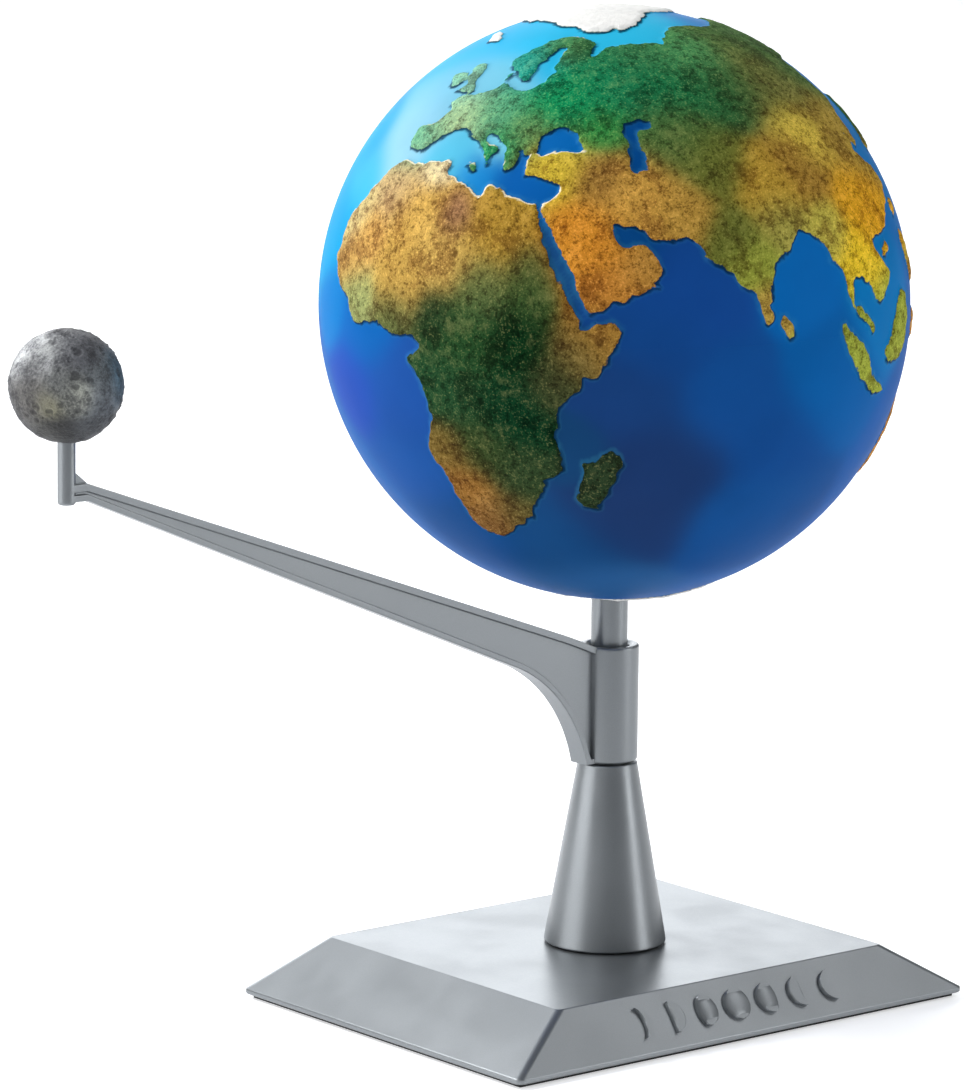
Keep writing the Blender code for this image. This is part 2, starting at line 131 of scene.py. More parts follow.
class Shader:
    """One material's node tree, with a Principled shader at its end."""

    def __init__(self, name: str) -> None:
        """Start an empty material of a name."""
        self.material = bpy.data.materials.new(name)
        self.material.use_nodes = True
        self.tree = self.material.node_tree
        self.tree.nodes.clear()
        self.place = self.node("ShaderNodeTexCoord").outputs["Object"]
        self.surface = self.node("ShaderNodeBsdfPrincipled")
        self.node("ShaderNodeOutputMaterial", inputs={"Surface": self.surface.outputs[0]})

    def node(self, kind: str, settings: dict | None = None, inputs: dict | None = None) -> bpy.types.Node:
        """Add a node, with its settings first and then its sockets.

        Args:
            kind: The node's type name.
            settings: Values of the node's own properties.
            inputs: Socket names or numbers, each with a number, a colour, a Value or an output socket.

        Returns:
            The new node.
        """
        node = self.tree.nodes.new(kind)
        for key, value in (settings or {}).items():
            setattr(node, key, value)
        for key, value in (inputs or {}).items():
            self.join(node.inputs[key], value)
        return node

    def join(self, socket: bpy.types.NodeSocket, value: object) -> None:
        """Give a socket a link, or a plain value.

        Args:
            socket: The input socket.
            value: A Value, an output socket, a number, or a colour of three channels.
        """
        if isinstance(value, Value):
            self.tree.links.new(value.socket, socket)
        elif isinstance(value, bpy.types.NodeSocket):
            self.tree.links.new(value, socket)
        elif isinstance(value, np.ndarray):
            socket.default_value = (*value.tolist(), 1.0)
        else:
            socket.default_value = value

    def noise(self, size: float, detail: float = 4.0, roughness: float = 0.55) -> Value:
        """Cloudy noise from 0 to 1 whose lumps are about a size in metres across."""
        sockets = {"Vector": self.place, "Scale": 1 / size, "Detail": detail, "Roughness": roughness}
        return Value(self, self.node("ShaderNodeTexNoise", inputs=sockets).outputs[0])

    def streaks(self, size: float, stretch: Triple, detail: float = 3.0) -> Value:
        """Cloudy noise whose lumps are stretched along each axis.

        Args:
            size: Size of the lumps, in metres.
            stretch: Factor along each axis.
            detail: Number of finer layers.

        Returns:
            The noise, from 0 to 1.
        """
        scale = tuple(1 / factor for factor in stretch)
        turned = self.node("ShaderNodeMapping", inputs={"Vector": self.place, "Scale": scale}).outputs[0]
        sockets = {"Vector": turned, "Scale": 1 / size, "Detail": detail}
        return Value(self, self.node("ShaderNodeTexNoise", inputs=sockets).outputs[0])

    def attribute(self, name: str) -> Value:
        """A number stored on the mesh's points."""
        return Value(self, self.node("ShaderNodeAttribute", {"attribute_name": name}).outputs["Fac"])

    def painted(self, name: str) -> bpy.types.NodeSocket:
        """A colour stored on the mesh's points."""
        return self.node("ShaderNodeAttribute", {"attribute_name": name}).outputs["Color"]

    def mix(
        self, part: Value | float, first: object, second: object, blend: str = "MIX"
    ) -> bpy.types.NodeSocket:
        """Blend two colours.

        Args:
            part: How much of the second colour shows, from 0 to 1.
            first: The colour underneath.
            second: The colour on top.
            blend: The way of blending.

        Returns:
            The blended colour's socket.
        """
        settings = {"data_type": "RGBA", "blend_type": blend, "clamp_factor": True}
        return self.node("ShaderNodeMix", settings, {0: part, 6: first, 7: second}).outputs[2]

    def times(self, paint: object, factor: Triple) -> bpy.types.NodeSocket:
        """A colour multiplied channel by channel by a display colour."""
        return self.mix(1.0, paint, srgb(*factor), "MULTIPLY")

    def bump(self, height: Value, depth: float, strength: float = 1.0) -> None:
        """Tilt the surface by a height from 0 to 1, whose full height is a depth in metres."""
        sockets = {"Height": height, "Distance": depth, "Strength": strength}
        self.join(self.surface.inputs["Normal"], self.node("ShaderNodeBump", inputs=sockets).outputs[0])

    def finish(self, colour: object, roughness: Value | float, **plain: float) -> bpy.types.Material:
        """Set the Principled shader's sockets and give back the material.

        Args:
            colour: Base colour.
            roughness: Roughness.
            plain: Other sockets by name, with underscores for spaces, each with one number for all over.

        Returns:
            The finished material.
        """
        self.join(self.surface.inputs["Base Color"], colour)
        self.join(self.surface.inputs["Roughness"], roughness)
        for key, value in plain.items():
            self.surface.inputs[key.replace("_", " ")].default_value = value
        return self.material


# --- Finishes -----------------------------------------------------------------------------------


@dataclass(frozen=True)
class SilverMoulding:
    """Silver-grey satin plastic with metal flake in it, a fine grain and faint cloudy flow marks."""

    light: Triple = (136, 140, 143)
    dark: Triple = (116, 120, 123)
    roughness: float = 0.37
    metallic: float = 0.8
    flake: float = 0.12 * MM
    grain: float = 0.45 * MM
    cloud: float = 14 * MM
    relief: float = 0.012 * MM

    def material(self, name: str) -> bpy.types.Material:
        """Make the material.

        Args:
            name: The material's name.

        Returns:
            The finished material.
        """
        shader = Shader(name)
        cloud = shader.noise(self.cloud, detail=2.0)
        grain = shader.noise(self.grain, detail=3.0, roughness=0.6)
        flake = shader.noise(self.flake, detail=0.0)
        colour = shader.mix(cloud * 0.5 + flake * 0.5, srgb(*self.dark), srgb(*self.light))
        worn = cloud.step(0.35, 0.75) * 0.06 + grain * 0.08 + (self.roughness - 0.06)
        shader.bump(grain * 0.7 + flake * 0.3, self.relief, 0.6)
        return shader.finish(colour, worn, Metallic=self.metallic, Coat_Weight=0.12, Coat_Roughness=0.25)


@dataclass(frozen=True)
class PlainMoulding:
    """Uncoated moulded plastic with a slight mottle and a spark-eroded grain."""

    colour: Triple
    roughness: float = 0.5
    mottle: float = 9 * MM
    grain: float = 0.5 * MM
    relief: float = 0.03 * MM

    def material(self, name: str) -> bpy.types.Material:
        """Make the material.

        Args:
            name: The material's name.

        Returns:
            The finished material.
        """
        shader = Shader(name)
        mottle = shader.noise(self.mottle, detail=2.0)
        grain = shader.noise(self.grain, detail=2.0)
        colour = shader.mix(mottle, srgb(*self.colour), srgb(*self.colour) * 0.78)
        shader.bump(grain, self.relief, 0.5)
        return shader.finish(colour, grain * 0.12 + self.roughness)


@dataclass(frozen=True)
class FoamPad:
    """Closed-cell foam with small pores."""

    colour: Triple = (34, 34, 36)
    roughness: float = 0.92
    cell: float = 0.7 * MM
    relief: float = 0.08 * MM

    def material(self, name: str) -> bpy.types.Material:
        """Make the material.

        Args:
            name: The material's name.

        Returns:
            The finished material.
        """
        shader = Shader(name)
        sockets = {"Vector": shader.place, "Scale": 1 / self.cell}
        pores = Value(shader, shader.node("ShaderNodeTexVoronoi", inputs=sockets).outputs[0])
        colour = shader.mix(pores.step(0.1, 0.6), srgb(*self.colour) * 0.5, srgb(*self.colour))
        shader.bump(pores, self.relief, 0.8)
        return shader.finish(colour, self.roughness)


@dataclass(frozen=True)
class PlatedSteel:
    """Bright plated steel with turning marks across the screw's head and a faint stain."""

    colour: Triple = (196, 197, 198)
    stained: Triple = (128, 126, 120)
    mark: float = 0.25 * MM
    stain: float = 1.5 * MM
    relief: float = 0.01 * MM

    def material(self, name: str) -> bpy.types.Material:
        """Make the material.

        Args:
            name: The material's name.

        Returns:
            The finished material.
        """
        shader = Shader(name)
        marks = shader.streaks(self.mark, (6.0, 1.0, 1.0))
        stain = shader.noise(self.stain)
        colour = shader.mix(stain.step(0.4, 0.8) * 0.4, srgb(*self.colour), srgb(*self.stained))
        shader.bump(marks, self.relief, 0.6)
        return shader.finish(colour, marks * 0.12 + 0.2, Metallic=1.0)


@dataclass(frozen=True)
class GlobePaint:
    """The globe's hand-painted finish: smooth oceans, rough stippled land that stands proud of them, and
    painted highlights and shadows along the coasts.
    """

    stipple: float = 0.7 * MM
    brush: float = 6 * MM
    swirl: float = 16 * MM
    relief: float = 0.42 * MM
    sea_roughness: float = 0.5
    land_roughness: float = 0.75
    specular: float = 0.02
    land_dark: Triple = (150, 116, 116)
    land_shadow: Triple = (104, 84, 76)
    land_pale: Triple = (312, 306, 292)
    cream: Triple = (244, 220, 150)
    snow: Triple = (234, 233, 230)
    snow_shade: Triple = (208, 209, 208)
    # Painted highlight for coasts that face the light.
    painted_coast_highlight: Triple = (250, 240, 208)
    sea_dark: Triple = (190, 196, 205)
    shallows: Triple = (70, 160, 190)
    # Painted shadow for coasts that face away from the light.
    coast_shade: Triple = (2, 40, 66)

    def material(self, name: str) -> bpy.types.Material:
        """Make the material.

        The mesh carries coast, the distance inland in millimetres; ice, the distance inside the ice; lit, how
        far a coast faces the light; and land and sea, the two broad paint colours. The sea colour also holds
        a painted reflection of a broad light over the north-east Atlantic.

        Args:
            name: The material's name.

        Returns:
            The finished material.
        """
        shader = Shader(name)
        coarse = shader.noise(self.stipple * 1.9, detail=5.0, roughness=0.65)
        fine = shader.noise(self.stipple * 0.55, detail=3.0, roughness=0.6)
        brushed = shader.noise(self.brush, detail=6.0, roughness=0.6)
        swirl = shader.noise(self.swirl, detail=5.0, roughness=0.5)
        lit = shader.attribute("lit")
        ragged = shader.attribute("coast") + (fine - 0.5) * 0.22
        ground = ragged.step(-0.06, 0.1)

        # Painted highlight: a pale line on the land along coasts that face the light from the north-west.
        rim = ragged.step(0.5, 0.12) * lit.step(0.1, 0.6)
        land = shader.mix(rim * 0.9, self.land(shader, coarse, fine, brushed), srgb(*self.painted_coast_highlight))

        water = shader.painted("sea")
        # Painted shadow: a dark line on the sea along coasts that face away from the light.
        shade = ragged.step(-0.72, -0.16) * lit.step(-0.12, -0.6)
        glow = ragged.step(-1.1, -0.1) * (1 - shade)
        sea = shader.mix(swirl.step(0.35, 0.75) * 0.22, water, shader.times(water, self.sea_dark))
        sea = shader.mix(glow * 0.14, sea, srgb(*self.shallows))
        sea = shader.mix(shade * 0.9, sea, srgb(*self.coast_shade))

        gain = self.land_roughness - self.sea_roughness
        roughness = ground * gain + self.sea_roughness + (brushed - 0.5) * 0.06
        relief = ground * (coarse * 0.6 + fine * 0.4) + (1 - ground) * swirl * 0.1
        shader.bump(relief, self.relief, 0.9)
        colour = shader.mix(ground, sea, land)
        return shader.finish(colour, roughness, Specular_IOR_Level=self.specular)

    def land(self, shader: Shader, coarse: Value, fine: Value, brushed: Value) -> bpy.types.NodeSocket:
        """Colour the land: broad paint with dark blotches, pale clearings, stippled dabs and flecks, and ice.
        The dark dabs fall mostly on the stipple's low spots, so they are partly painted shade.

        Args:
            shader: The globe's shader.
            coarse: Coarse stipple noise.
            fine: Fine stipple noise.
            brushed: Broad brush noise.

        Returns:
            The colour's socket.
        """
        paint = shader.painted("land")
        pale = shader.mix(0.12, shader.times(paint, self.land_pale), srgb(*self.cream))
        broad = brushed * 0.75 + coarse * 0.25
        dabs = (coarse * 0.5 + fine * 0.5).step(0.50, 0.40)
        flecks = (coarse * 0.35 + fine * 0.65).step(0.54, 0.63)
        land = shader.mix(broad.step(0.52, 0.40) * 0.55, paint, shader.times(paint, self.land_dark))
        land = shader.mix(broad.step(0.54, 0.66) * 0.45, land, pale)
        # Partly painted shade: the dark dabs fall mostly where the stipple's bump is low.
        land = shader.mix(dabs * 0.62, land, shader.times(paint, self.land_shadow))
        land = shader.mix(flecks * 0.7, land, pale)
        drifts = (coarse * 0.5 + brushed * 0.5).step(0.4, 0.7)
        snow = shader.mix(drifts * 0.5, srgb(*self.snow), srgb(*self.snow_shade))
        return shader.mix(shader.attribute("ice").step(-0.1, 0.25), land, snow)


@dataclass(frozen=True)
class MoonPaint:
    """Matt grey paint, mottled and speckled, with painted shade darkening the crater pits."""

    speckle: float = 0.45 * MM
    blotch: float = 3.2 * MM
    relief: float = 0.4 * MM
    roughness: float = 0.62
    dark: Triple = (150, 150, 156)
    light: Triple = (318, 318, 316)

    def material(self, name: str) -> bpy.types.Material:
        """Make the material.

        The mesh carries height, in tenths of a millimetre, and the broad paint colour, which also holds a
        painted highlight on the upper left, painted shade low down and a painted blue reflection on the side
        toward the globe.

        Args:
            name: The material's name.

        Returns:
            The finished material.
        """
        shader = Shader(name)
        shaded_tint = shader.painted("shaded_tint")
        fine = shader.noise(self.speckle, detail=4.0, roughness=0.65)
        blotch = shader.noise(self.blotch, detail=5.0, roughness=0.6)
        dark = shader.times(shaded_tint, self.dark)
        tone = (blotch - 0.5) * 1.5 + (fine - 0.5) * 1.3 + 0.5
        colour = shader.mix(tone.step(0.1, 0.95), dark, shader.times(shaded_tint, self.light))
        # Painted shade: the deeper parts of the crater pits are darkened.
        pit_shade = shader.attribute("height").step(-0.5, -1.5)
        colour = shader.mix(pit_shade * 0.75, colour, dark)
        shader.bump(fine * 0.6 + blotch * 0.4, self.relief, 1.0)
        return shader.finish(colour, self.roughness)


# --- Surfaces -----------------------------------------------------------------------------------

ARC_STEPS = 5


@dataclass
class Faces:
    """Vertex numbers of a mesh's quads and triangles."""

    quads: np.ndarray
    triangles: np.ndarray = field(default_factory=lambda: np.empty((0, 3), int))


def grid_faces(rows: int, columns: int, close_rows: bool, close_columns: bool, start: int = 0) -> np.ndarray:
    """Number the quads of a grid of points.

    Args:
        rows: Number of rows of points.
        columns: Number of points in a row.
        close_rows: Whether the last row joins the first.
        close_columns: Whether the last point of a row joins its first.
        start: Number of the grid's first point.

    Returns:
        One row of four point numbers for each quad.
    """
    row = np.arange(rows if close_rows else rows - 1)[:, None]
    column = np.arange(columns if close_columns else columns - 1)[None, :]
    next_row = (row + 1) % rows
    next_column = (column + 1) % columns
    corners = [
        row * columns + column,
        row * columns + next_column,
        next_row * columns + next_column,
        next_row * columns + column,
    ]
    return np.stack(np.broadcast_arrays(*corners), axis=-1).reshape(-1, 4) + start


def fan_faces(ring: np.ndarray, tip: int, flip: bool = False) -> np.ndarray:
    """Join a closed ring of points to one tip point with triangles.

    Args:
        ring: Point numbers round the ring.
        tip: Number of the tip point.
        flip: Whether the triangles are turned over.

    Returns:
        One row of three point numbers for each triangle.
    """
    following = np.roll(ring, -1)
    order = [following, ring] if flip else [ring, following]
    return np.stack([*order, np.full_like(ring, tip)], axis=-1)


def zip_rings(first: np.ndarray, second: np.ndarray) -> np.ndarray:
    """Join two closed rings that start side by side but have different numbers of points.

    Edge i of the first ring takes the point of the second at floor((i + 1/2) m / n), and edge j of the
    second takes the first ring's point where that number steps past j.

    Args:
        first: Point numbers of a ring of n points.
        second: Point numbers of a ring of m points.

    Returns:
        One row of three point numbers for each triangle.
    """
    n, m = len(first), len(second)
    i, j = np.arange(n), np.arange(m)
    apex = ((2 * i + 1) * m // (2 * n)) % m
    near = np.stack([first, np.roll(first, -1), second[apex]], axis=-1)
    switch = -((m - 2 * n * (j + 1)) // (2 * m))
    far = np.stack([second[(j + 1) % m], second[j], first[switch % n]], axis=-1)
    return np.concatenate([near, far])


def make_piece(name: str, points: np.ndarray, faces: Faces, sharp: float = 35.0) -> bpy.types.Object:
    """Put a surface into a smooth-shaded mesh object at the origin.

    Args:
        name: The object's name.
        points: One row of three coordinates for each point, in metres.
        faces: The surface's quads and triangles.
        sharp: Angle in degrees above which an edge stays sharp.

    Returns:
        The new object.
    """
    mesh = bpy.data.meshes.new(name)
    quads, triangles = faces.quads.reshape(-1, 4), faces.triangles.reshape(-1, 3)
    mesh.vertices.add(len(points))
    mesh.vertices.foreach_set("co", np.ascontiguousarray(points, dtype=np.float32).ravel())
    mesh.loops.add(quads.size + triangles.size)
    numbers = np.concatenate([quads.ravel(), triangles.ravel()]).astype(np.int32)
    mesh.loops.foreach_set("vertex_index", numbers)
    starts = [np.arange(len(quads)) * 4, quads.size + np.arange(len(triangles)) * 3]
    mesh.polygons.add(len(quads) + len(triangles))
    mesh.polygons.foreach_set("loop_start", np.concatenate(starts).astype(np.int32))
    mesh.update(calc_edges=True)
    mesh.validate()
    mesh.shade_smooth()
    mesh.set_sharp_from_angle(angle=math.radians(sharp))
    piece = bpy.data.objects.new(name, mesh)
    bpy.context.scene.collection.objects.link(piece)
    return piece


def capped_piece(
    name: str, rings: np.ndarray, tips: np.ndarray | None = None, turn_over: bool = False
) -> bpy.types.Object:
    """Join a stack of closed rings into one piece whose two ends are closed with fans of triangles.

    Args:
        name: The piece's name.
        rings: Grid of points, with one row for each ring.
        tips: Middle points of the two ends, or None for the middles of the first and last ring.
        turn_over: Whether the rings run the way that needs the faces turned over to point outwards.

    Returns:
        The new object.
    """
    count, columns = rings.shape[:2]
    body = rings.reshape(-1, 3)
    if tips is None:
        tips = np.array([rings[0].mean(axis=0), rings[-1].mean(axis=0)])
    first = np.arange(columns)
    last = first + (count - 1) * columns
    ends = [fan_faces(first, len(body), not turn_over), fan_faces(last, len(body) + 1, turn_over)]
    quads = grid_faces(count, columns, False, True)
    if turn_over:
        quads = quads[:, ::-1]
    return make_piece(name, np.concatenate([body, tips]), Faces(quads, np.concatenate(ends)))


def store(piece: bpy.types.Object, name: str, values: np.ndarray) -> None:
    """Store a number or a colour on each point of a piece's mesh.

    Args:
        piece: The piece.
        name: The attribute's name.
        values: One number, or one row of three channels, for each point.
    """
    if values.ndim == 1:
        layer = piece.data.attributes.new(name, "FLOAT", "POINT")
        layer.data.foreach_set("value", values.astype(np.float32))
    else:
        layer = piece.data.attributes.new(name, "FLOAT_COLOR", "POINT")
        solid = np.concatenate([values, np.ones((len(values), 1))], axis=1)
        layer.data.foreach_set("color", solid.astype(np.float32).ravel())


def dress(
    piece: bpy.types.Object, finish: bpy.types.Material, body: str, node: str | None = None
) -> None:
    """Give a new piece its finish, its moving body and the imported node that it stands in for.

    Args:
        piece: The new piece.
        finish: Its material.
        body: The body that carries it.
        node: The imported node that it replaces, or None for an added detail.
    """
    piece.data.materials.clear()
    piece.data.materials.append(finish)
    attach(piece, body)
    if node:
        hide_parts(node)
    part = node or "an added detail"
    log.info("%s (%s) rides on %s, %d faces", piece.name, part, body, len(piece.data.polygons))


def rounded(
    corners: list[tuple[float, float]], radius: float, steps: int = ARC_STEPS, guard: float = 0.12 * MM
) -> np.ndarray:
    """Round every corner of a closed flat outline.

    Each corner becomes an arc that touches both sides: its centre lies on the corner's bisector, and its
    radius shrinks where the sides are short. A guard point just past each end keeps the shading flat.

    Args:
        corners: The outline's corners.
        radius: Wanted radius, in metres.
        steps: Number of steps along each arc.
        guard: Distance of the guard points from the arc's ends.

    Returns:
        One row of two coordinates for each point, with steps + 3 of them for each corner.
    """
    here = np.array(corners, dtype=float)
    back, ahead = np.roll(here, 1, axis=0) - here, np.roll(here, -1, axis=0) - here
    back_length = np.linalg.norm(back, axis=1, keepdims=True)
    ahead_length = np.linalg.norm(ahead, axis=1, keepdims=True)
    back, ahead = back / back_length, ahead / ahead_length
    half = np.arccos(np.clip((back * ahead).sum(axis=1, keepdims=True), -1, 1)) / 2
    room = np.minimum(back_length, ahead_length) * 0.5 - guard
    reach = np.minimum(radius / np.tan(half), np.maximum(room, guard / 2))
    arc_radius = reach * np.tan(half)
    bisector = back + ahead
    bisector /= np.maximum(np.linalg.norm(bisector, axis=1, keepdims=True), 1e-12)
    centre = here + bisector * arc_radius / np.sin(half)
    start, end = here + back * reach - centre, here + ahead * reach - centre
    part = np.linspace(0, 1, steps + 1)[None, :, None]
    spoke = start[:, None] * (1 - part) + end[:, None] * part
    spoke *= arc_radius[:, None] / np.linalg.norm(spoke, axis=2, keepdims=True)
    arc = centre[:, None] + spoke
    before = here[:, None] + back[:, None] * (reach[:, None] + guard)
    after = here[:, None] + ahead[:, None] * (reach[:, None] + guard)
    return np.concatenate([before, arc, after], axis=1).reshape(-1, 2)


def turned_grid(outline: np.ndarray, steps: int, centre: tuple[float, float] = (0.0, 0.0)) -> np.ndarray:
    """Spin a (radius, height) outline about an upright axis: x = r cos a, y = r sin a, z = height.

    Args:
        outline: One row of radius and height for each point.
        steps: Number of steps round the axis.
        centre: Where the axis stands.

    Returns:
        Grid of points, with one row for each point of the outline.
    """
    angle = np.linspace(0, math.tau, steps, endpoint=False)[None, :]
    radius, height = outline[:, :1], outline[:, 1:]
    x = centre[0] + radius * np.cos(angle)
    y = centre[1] + radius * np.sin(angle)
    return np.stack([x, y, height + 0 * angle], axis=-1)


def turned_ring(
    name: str, corners: list[tuple[float, float]], radius: float, steps: int = 128
) -> bpy.types.Object:
    """Make a hollow turned piece from the corners of its closed (radius, height) outline.

    The corners are listed from top to bottom along the outside and back up the bore.

    Args:
        name: The piece's name.
        corners: The outline's corners.
        radius: Rounding of the corners.
        steps: Number of steps round the axis.

    Returns:
        The new object.
    """
    outline = rounded(corners, radius)
    quads = grid_faces(len(outline), steps, True, True)[:, ::-1]
    return make_piece(name, turned_grid(outline, steps).reshape(-1, 3), Faces(quads))


# --- Stand --------------------------------------------------------------------------------------


@dataclass
class Stand:
    """The base cover, column and spindle.

    The base's long side lies along X. Its rim is length by width, and its flat top is smaller both ways.
    The column is hollow up to a share column_cavity of its neck's height.
    """

    length: float = 110 * MM
    width: float = 82 * MM
    top_length: float = 80 * MM
    top_width: float = 68 * MM
    lip: float = 1.0 * MM
    corner: float = 1.5 * MM
    edge: float = 0.45 * MM
    wall: float = 2.0 * MM
    end_wall: float = 3.6 * MM
    long_wall: float = 2.4 * MM
    gap: float = 0.3 * MM
    column_foot: float = 11.6 * MM
    column_neck: float = 5.6 * MM
    column_wall: float = 1.8 * MM
    column_bead: float = 0.9 * MM
    column_cavity: float = 0.7
    spindle_radius: float = 3.45 * MM
    screw_bore: float = 1.4 * MM
    rounding: float = 0.3 * MM

    def build(self, silver: bpy.types.Material) -> None:
        """Build and dress the stand's visible pieces.

        Args:
            silver: The silver finish.
        """
        dress(self.cover(), silver, "base", "base_cover")
        dress(self.column(), silver, "base", "column")
        dress(self.spindle(), silver, "base", "spindle")

    def loop(self, half: np.ndarray, height: np.ndarray, corner: float, steps: int = 7) -> np.ndarray:
        """Points round a rectangle with round corners.

        The corner's centre lies inside the rectangle by its radius, and the arc's angle runs a quarter turn.
        The height turns from the long sides' to the short sides' as the square of the arc's cosine.

        Args:
            half: Half length and half width.
            height: Height of the end sides and of the long sides.
            corner: Corner radius.
            steps: Steps along each corner's arc.

        Returns:
            One row of three coordinates for each point, anticlockwise from above.
        """
        quarter = np.linspace(0, math.pi / 2, steps + 1)
        angle = (quarter[None, :] + np.arange(4)[:, None] * math.pi / 2).ravel()
        side_x = np.repeat([1, -1, -1, 1], steps + 1)
        side_y = np.repeat([1, 1, -1, -1], steps + 1)
        x = side_x * (half[0] - corner) + corner * np.cos(angle)
        y = side_y * (half[1] - corner) + corner * np.sin(angle)
        share = np.cos(angle) ** 2
        return np.stack([x, y, height[0] * share + height[1] * (1 - share)], axis=-1)

    def profile(self, half: float, top_half: float, side_wall: float) -> np.ndarray:
        """One side of the cover's section: out along the top, down the slope, and back in under the roof.

        Its first and last corner lie on flat stretches, so only their points next to the others are kept.

        Args:
            half: Distance of the rim from the base's middle.
            top_half: Distance of the top's edge from the base's middle.
            side_wall: Level thickness of the slanting wall.

        Returns:
            One row of distance and height for each point.
        """
        low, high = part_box("base_cover")
        foot, top = low.z, high.z
        plate_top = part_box("base_plate")[1].z + self.gap
        slope = (half - top_half) / (top - foot - self.lip)
        corners = [
            (half / 4, top),
            (top_half, top),
            (half, foot + self.lip),
            (half, foot),
            (half - slope * (plate_top - foot - self.lip) - side_wall, foot),
            (half - slope * (plate_top - foot - self.lip) - side_wall, plate_top),
            (top_half + slope * self.wall - side_wall, top - self.wall),
            (half / 4, top - self.wall),
        ]
        spare = ARC_STEPS + 2
        return rounded(corners, self.edge)[spare:-spare]

    def cover(self) -> bpy.types.Object:
        """Build the hollow base cover: rounded rectangles stacked from its top, down and in to its roof.

        Returns:
            The new object.
        """
        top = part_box("base_cover")[1].z
        end_side = self.profile(self.length / 2, self.top_length / 2, self.end_wall)
        long_side = self.profile(self.width / 2, self.top_width / 2, self.long_wall)
        halves = np.stack([end_side[:, 0], long_side[:, 0]], axis=-1)
        heights = np.stack([end_side[:, 1], long_side[:, 1]], axis=-1)
        rings = np.stack([self.loop(half, height, self.corner) for half, height in zip(halves, heights)])
        tips = np.array([[0, 0, top], [0, 0, top - self.wall]])
        return capped_piece("base_shell", rings, tips, turn_over=True)

    def column(self) -> bpy.types.Object:
        """Build the tapered column, with a small foot bead and a crisp neck.

        Returns:
            The new object.
        """
        low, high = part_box("column")
        bore = self.spindle_radius + self.gap
        narrow = high.z * self.column_cavity
        corners = [
            (bore, high.z),
            (self.column_neck, high.z),
            (self.column_foot - self.rounding / 2, low.z + self.column_bead),
            (self.column_foot, low.z),
            (self.column_foot - self.column_wall, low.z),
            (self.column_neck, narrow),
            (bore, narrow),
        ]
        return turned_ring("tapered_column", corners, self.rounding)

    def spindle(self) -> bpy.types.Object:
        """Build the round spindle, bored through for its screw.

        Returns:
            The new object.
        """
        low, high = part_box("spindle")
        corners = [
            (self.screw_bore, high.z),
            (self.spindle_radius, high.z),
            (self.spindle_radius, low.z),
            (self.screw_bore, low.z),
        ]
        return turned_ring("spindle_rod", corners, self.rounding, steps=96)


@dataclass
class PhaseMotif:
    """A raised row of moon phases on the base's front slope.

    Each phase lies between two half ellipses that share a disc's top and bottom, given as shares of the
    disc's half width.
    """

    radius: float = 3.1 * MM
    pitch: float = 8.0 * MM
    height: float = 0.75 * MM
    sink: float = 0.3 * MM
    bevel: float = 0.35 * MM
    tip_angle: float = 0.04
    rows: int = 33
    phases: tuple[tuple[float, float], ...] = (
        (0.45, 1.0), (0.0, 1.0), (-0.55, 1.0), (-1.0, 1.0), (-1.0, 0.55), (-1.0, 0.0), (-1.0, -0.45),
    )

    def build(self, silver: bpy.types.Material, stand: Stand) -> None:
        """Build the row, which rides on the base.

        Args:
            silver: The stand's silver finish.
            stand: The stand whose slope carries the row.
        """
        for number, (left, right) in enumerate(self.phases, start=1):
            centre = (number - (len(self.phases) + 1) / 2) * self.pitch
            piece = self.phase(f"phase_{number}", left, right, centre, stand)
            dress(piece, silver, "base")

    def phase(self, name: str, left: float, right: float, centre: float, stand: Stand) -> bpy.types.Object:
        """Build one raised phase.

        Along the disc's angle a from top to bottom and across it by v, y = r cos a and
        x = r sin a (left + (right - left) v). The top stands up by the height, and falls to the slope's
        surface within a bevel's width of the edge.

        Args:
            name: The piece's name.
            left: Left edge as a share of the disc's half width.
            right: Right edge as a share of the disc's half width.
            centre: Place of the disc's centre along the base.
            stand: The stand whose slope carries the row.

        Returns:
            The new object.
        """
        low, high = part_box("base_cover")
        rise, run = high.z - low.z - stand.lip, (stand.width - stand.top_width) / 2
        up = np.array([0, run, rise]) / math.hypot(run, rise)
        out = np.array([0, -rise, run]) / math.hypot(run, rise)
        along = np.array([1.0, 0, 0])
        middle = np.array([centre, -(stand.width + stand.top_width) / 4, low.z + stand.lip + rise / 2])
        angle = np.linspace(self.tip_angle, math.pi - self.tip_angle, self.rows)[:, None]
        shoulder = self.height * 0.75
        lifts = np.array([-self.sink, shoulder, self.height, self.height, shoulder, -self.sink])
        inset = self.bevel / self.radius
        shares = np.array([0, inset * 0.3, inset, 1 - inset, 1 - inset * 0.3, 1])[None, :]
        upright = self.radius * np.cos(angle)
        across = self.radius * np.sin(angle) * (left + (right - left) * shares)
        lift = np.broadcast_to(lifts, across.shape)
        points = middle + along * across[..., None] + up * upright[..., None] + out * lift[..., None]
        return capped_piece(name, points, turn_over=True)


# --- Arm ----------------------------------------------------------------------------------------


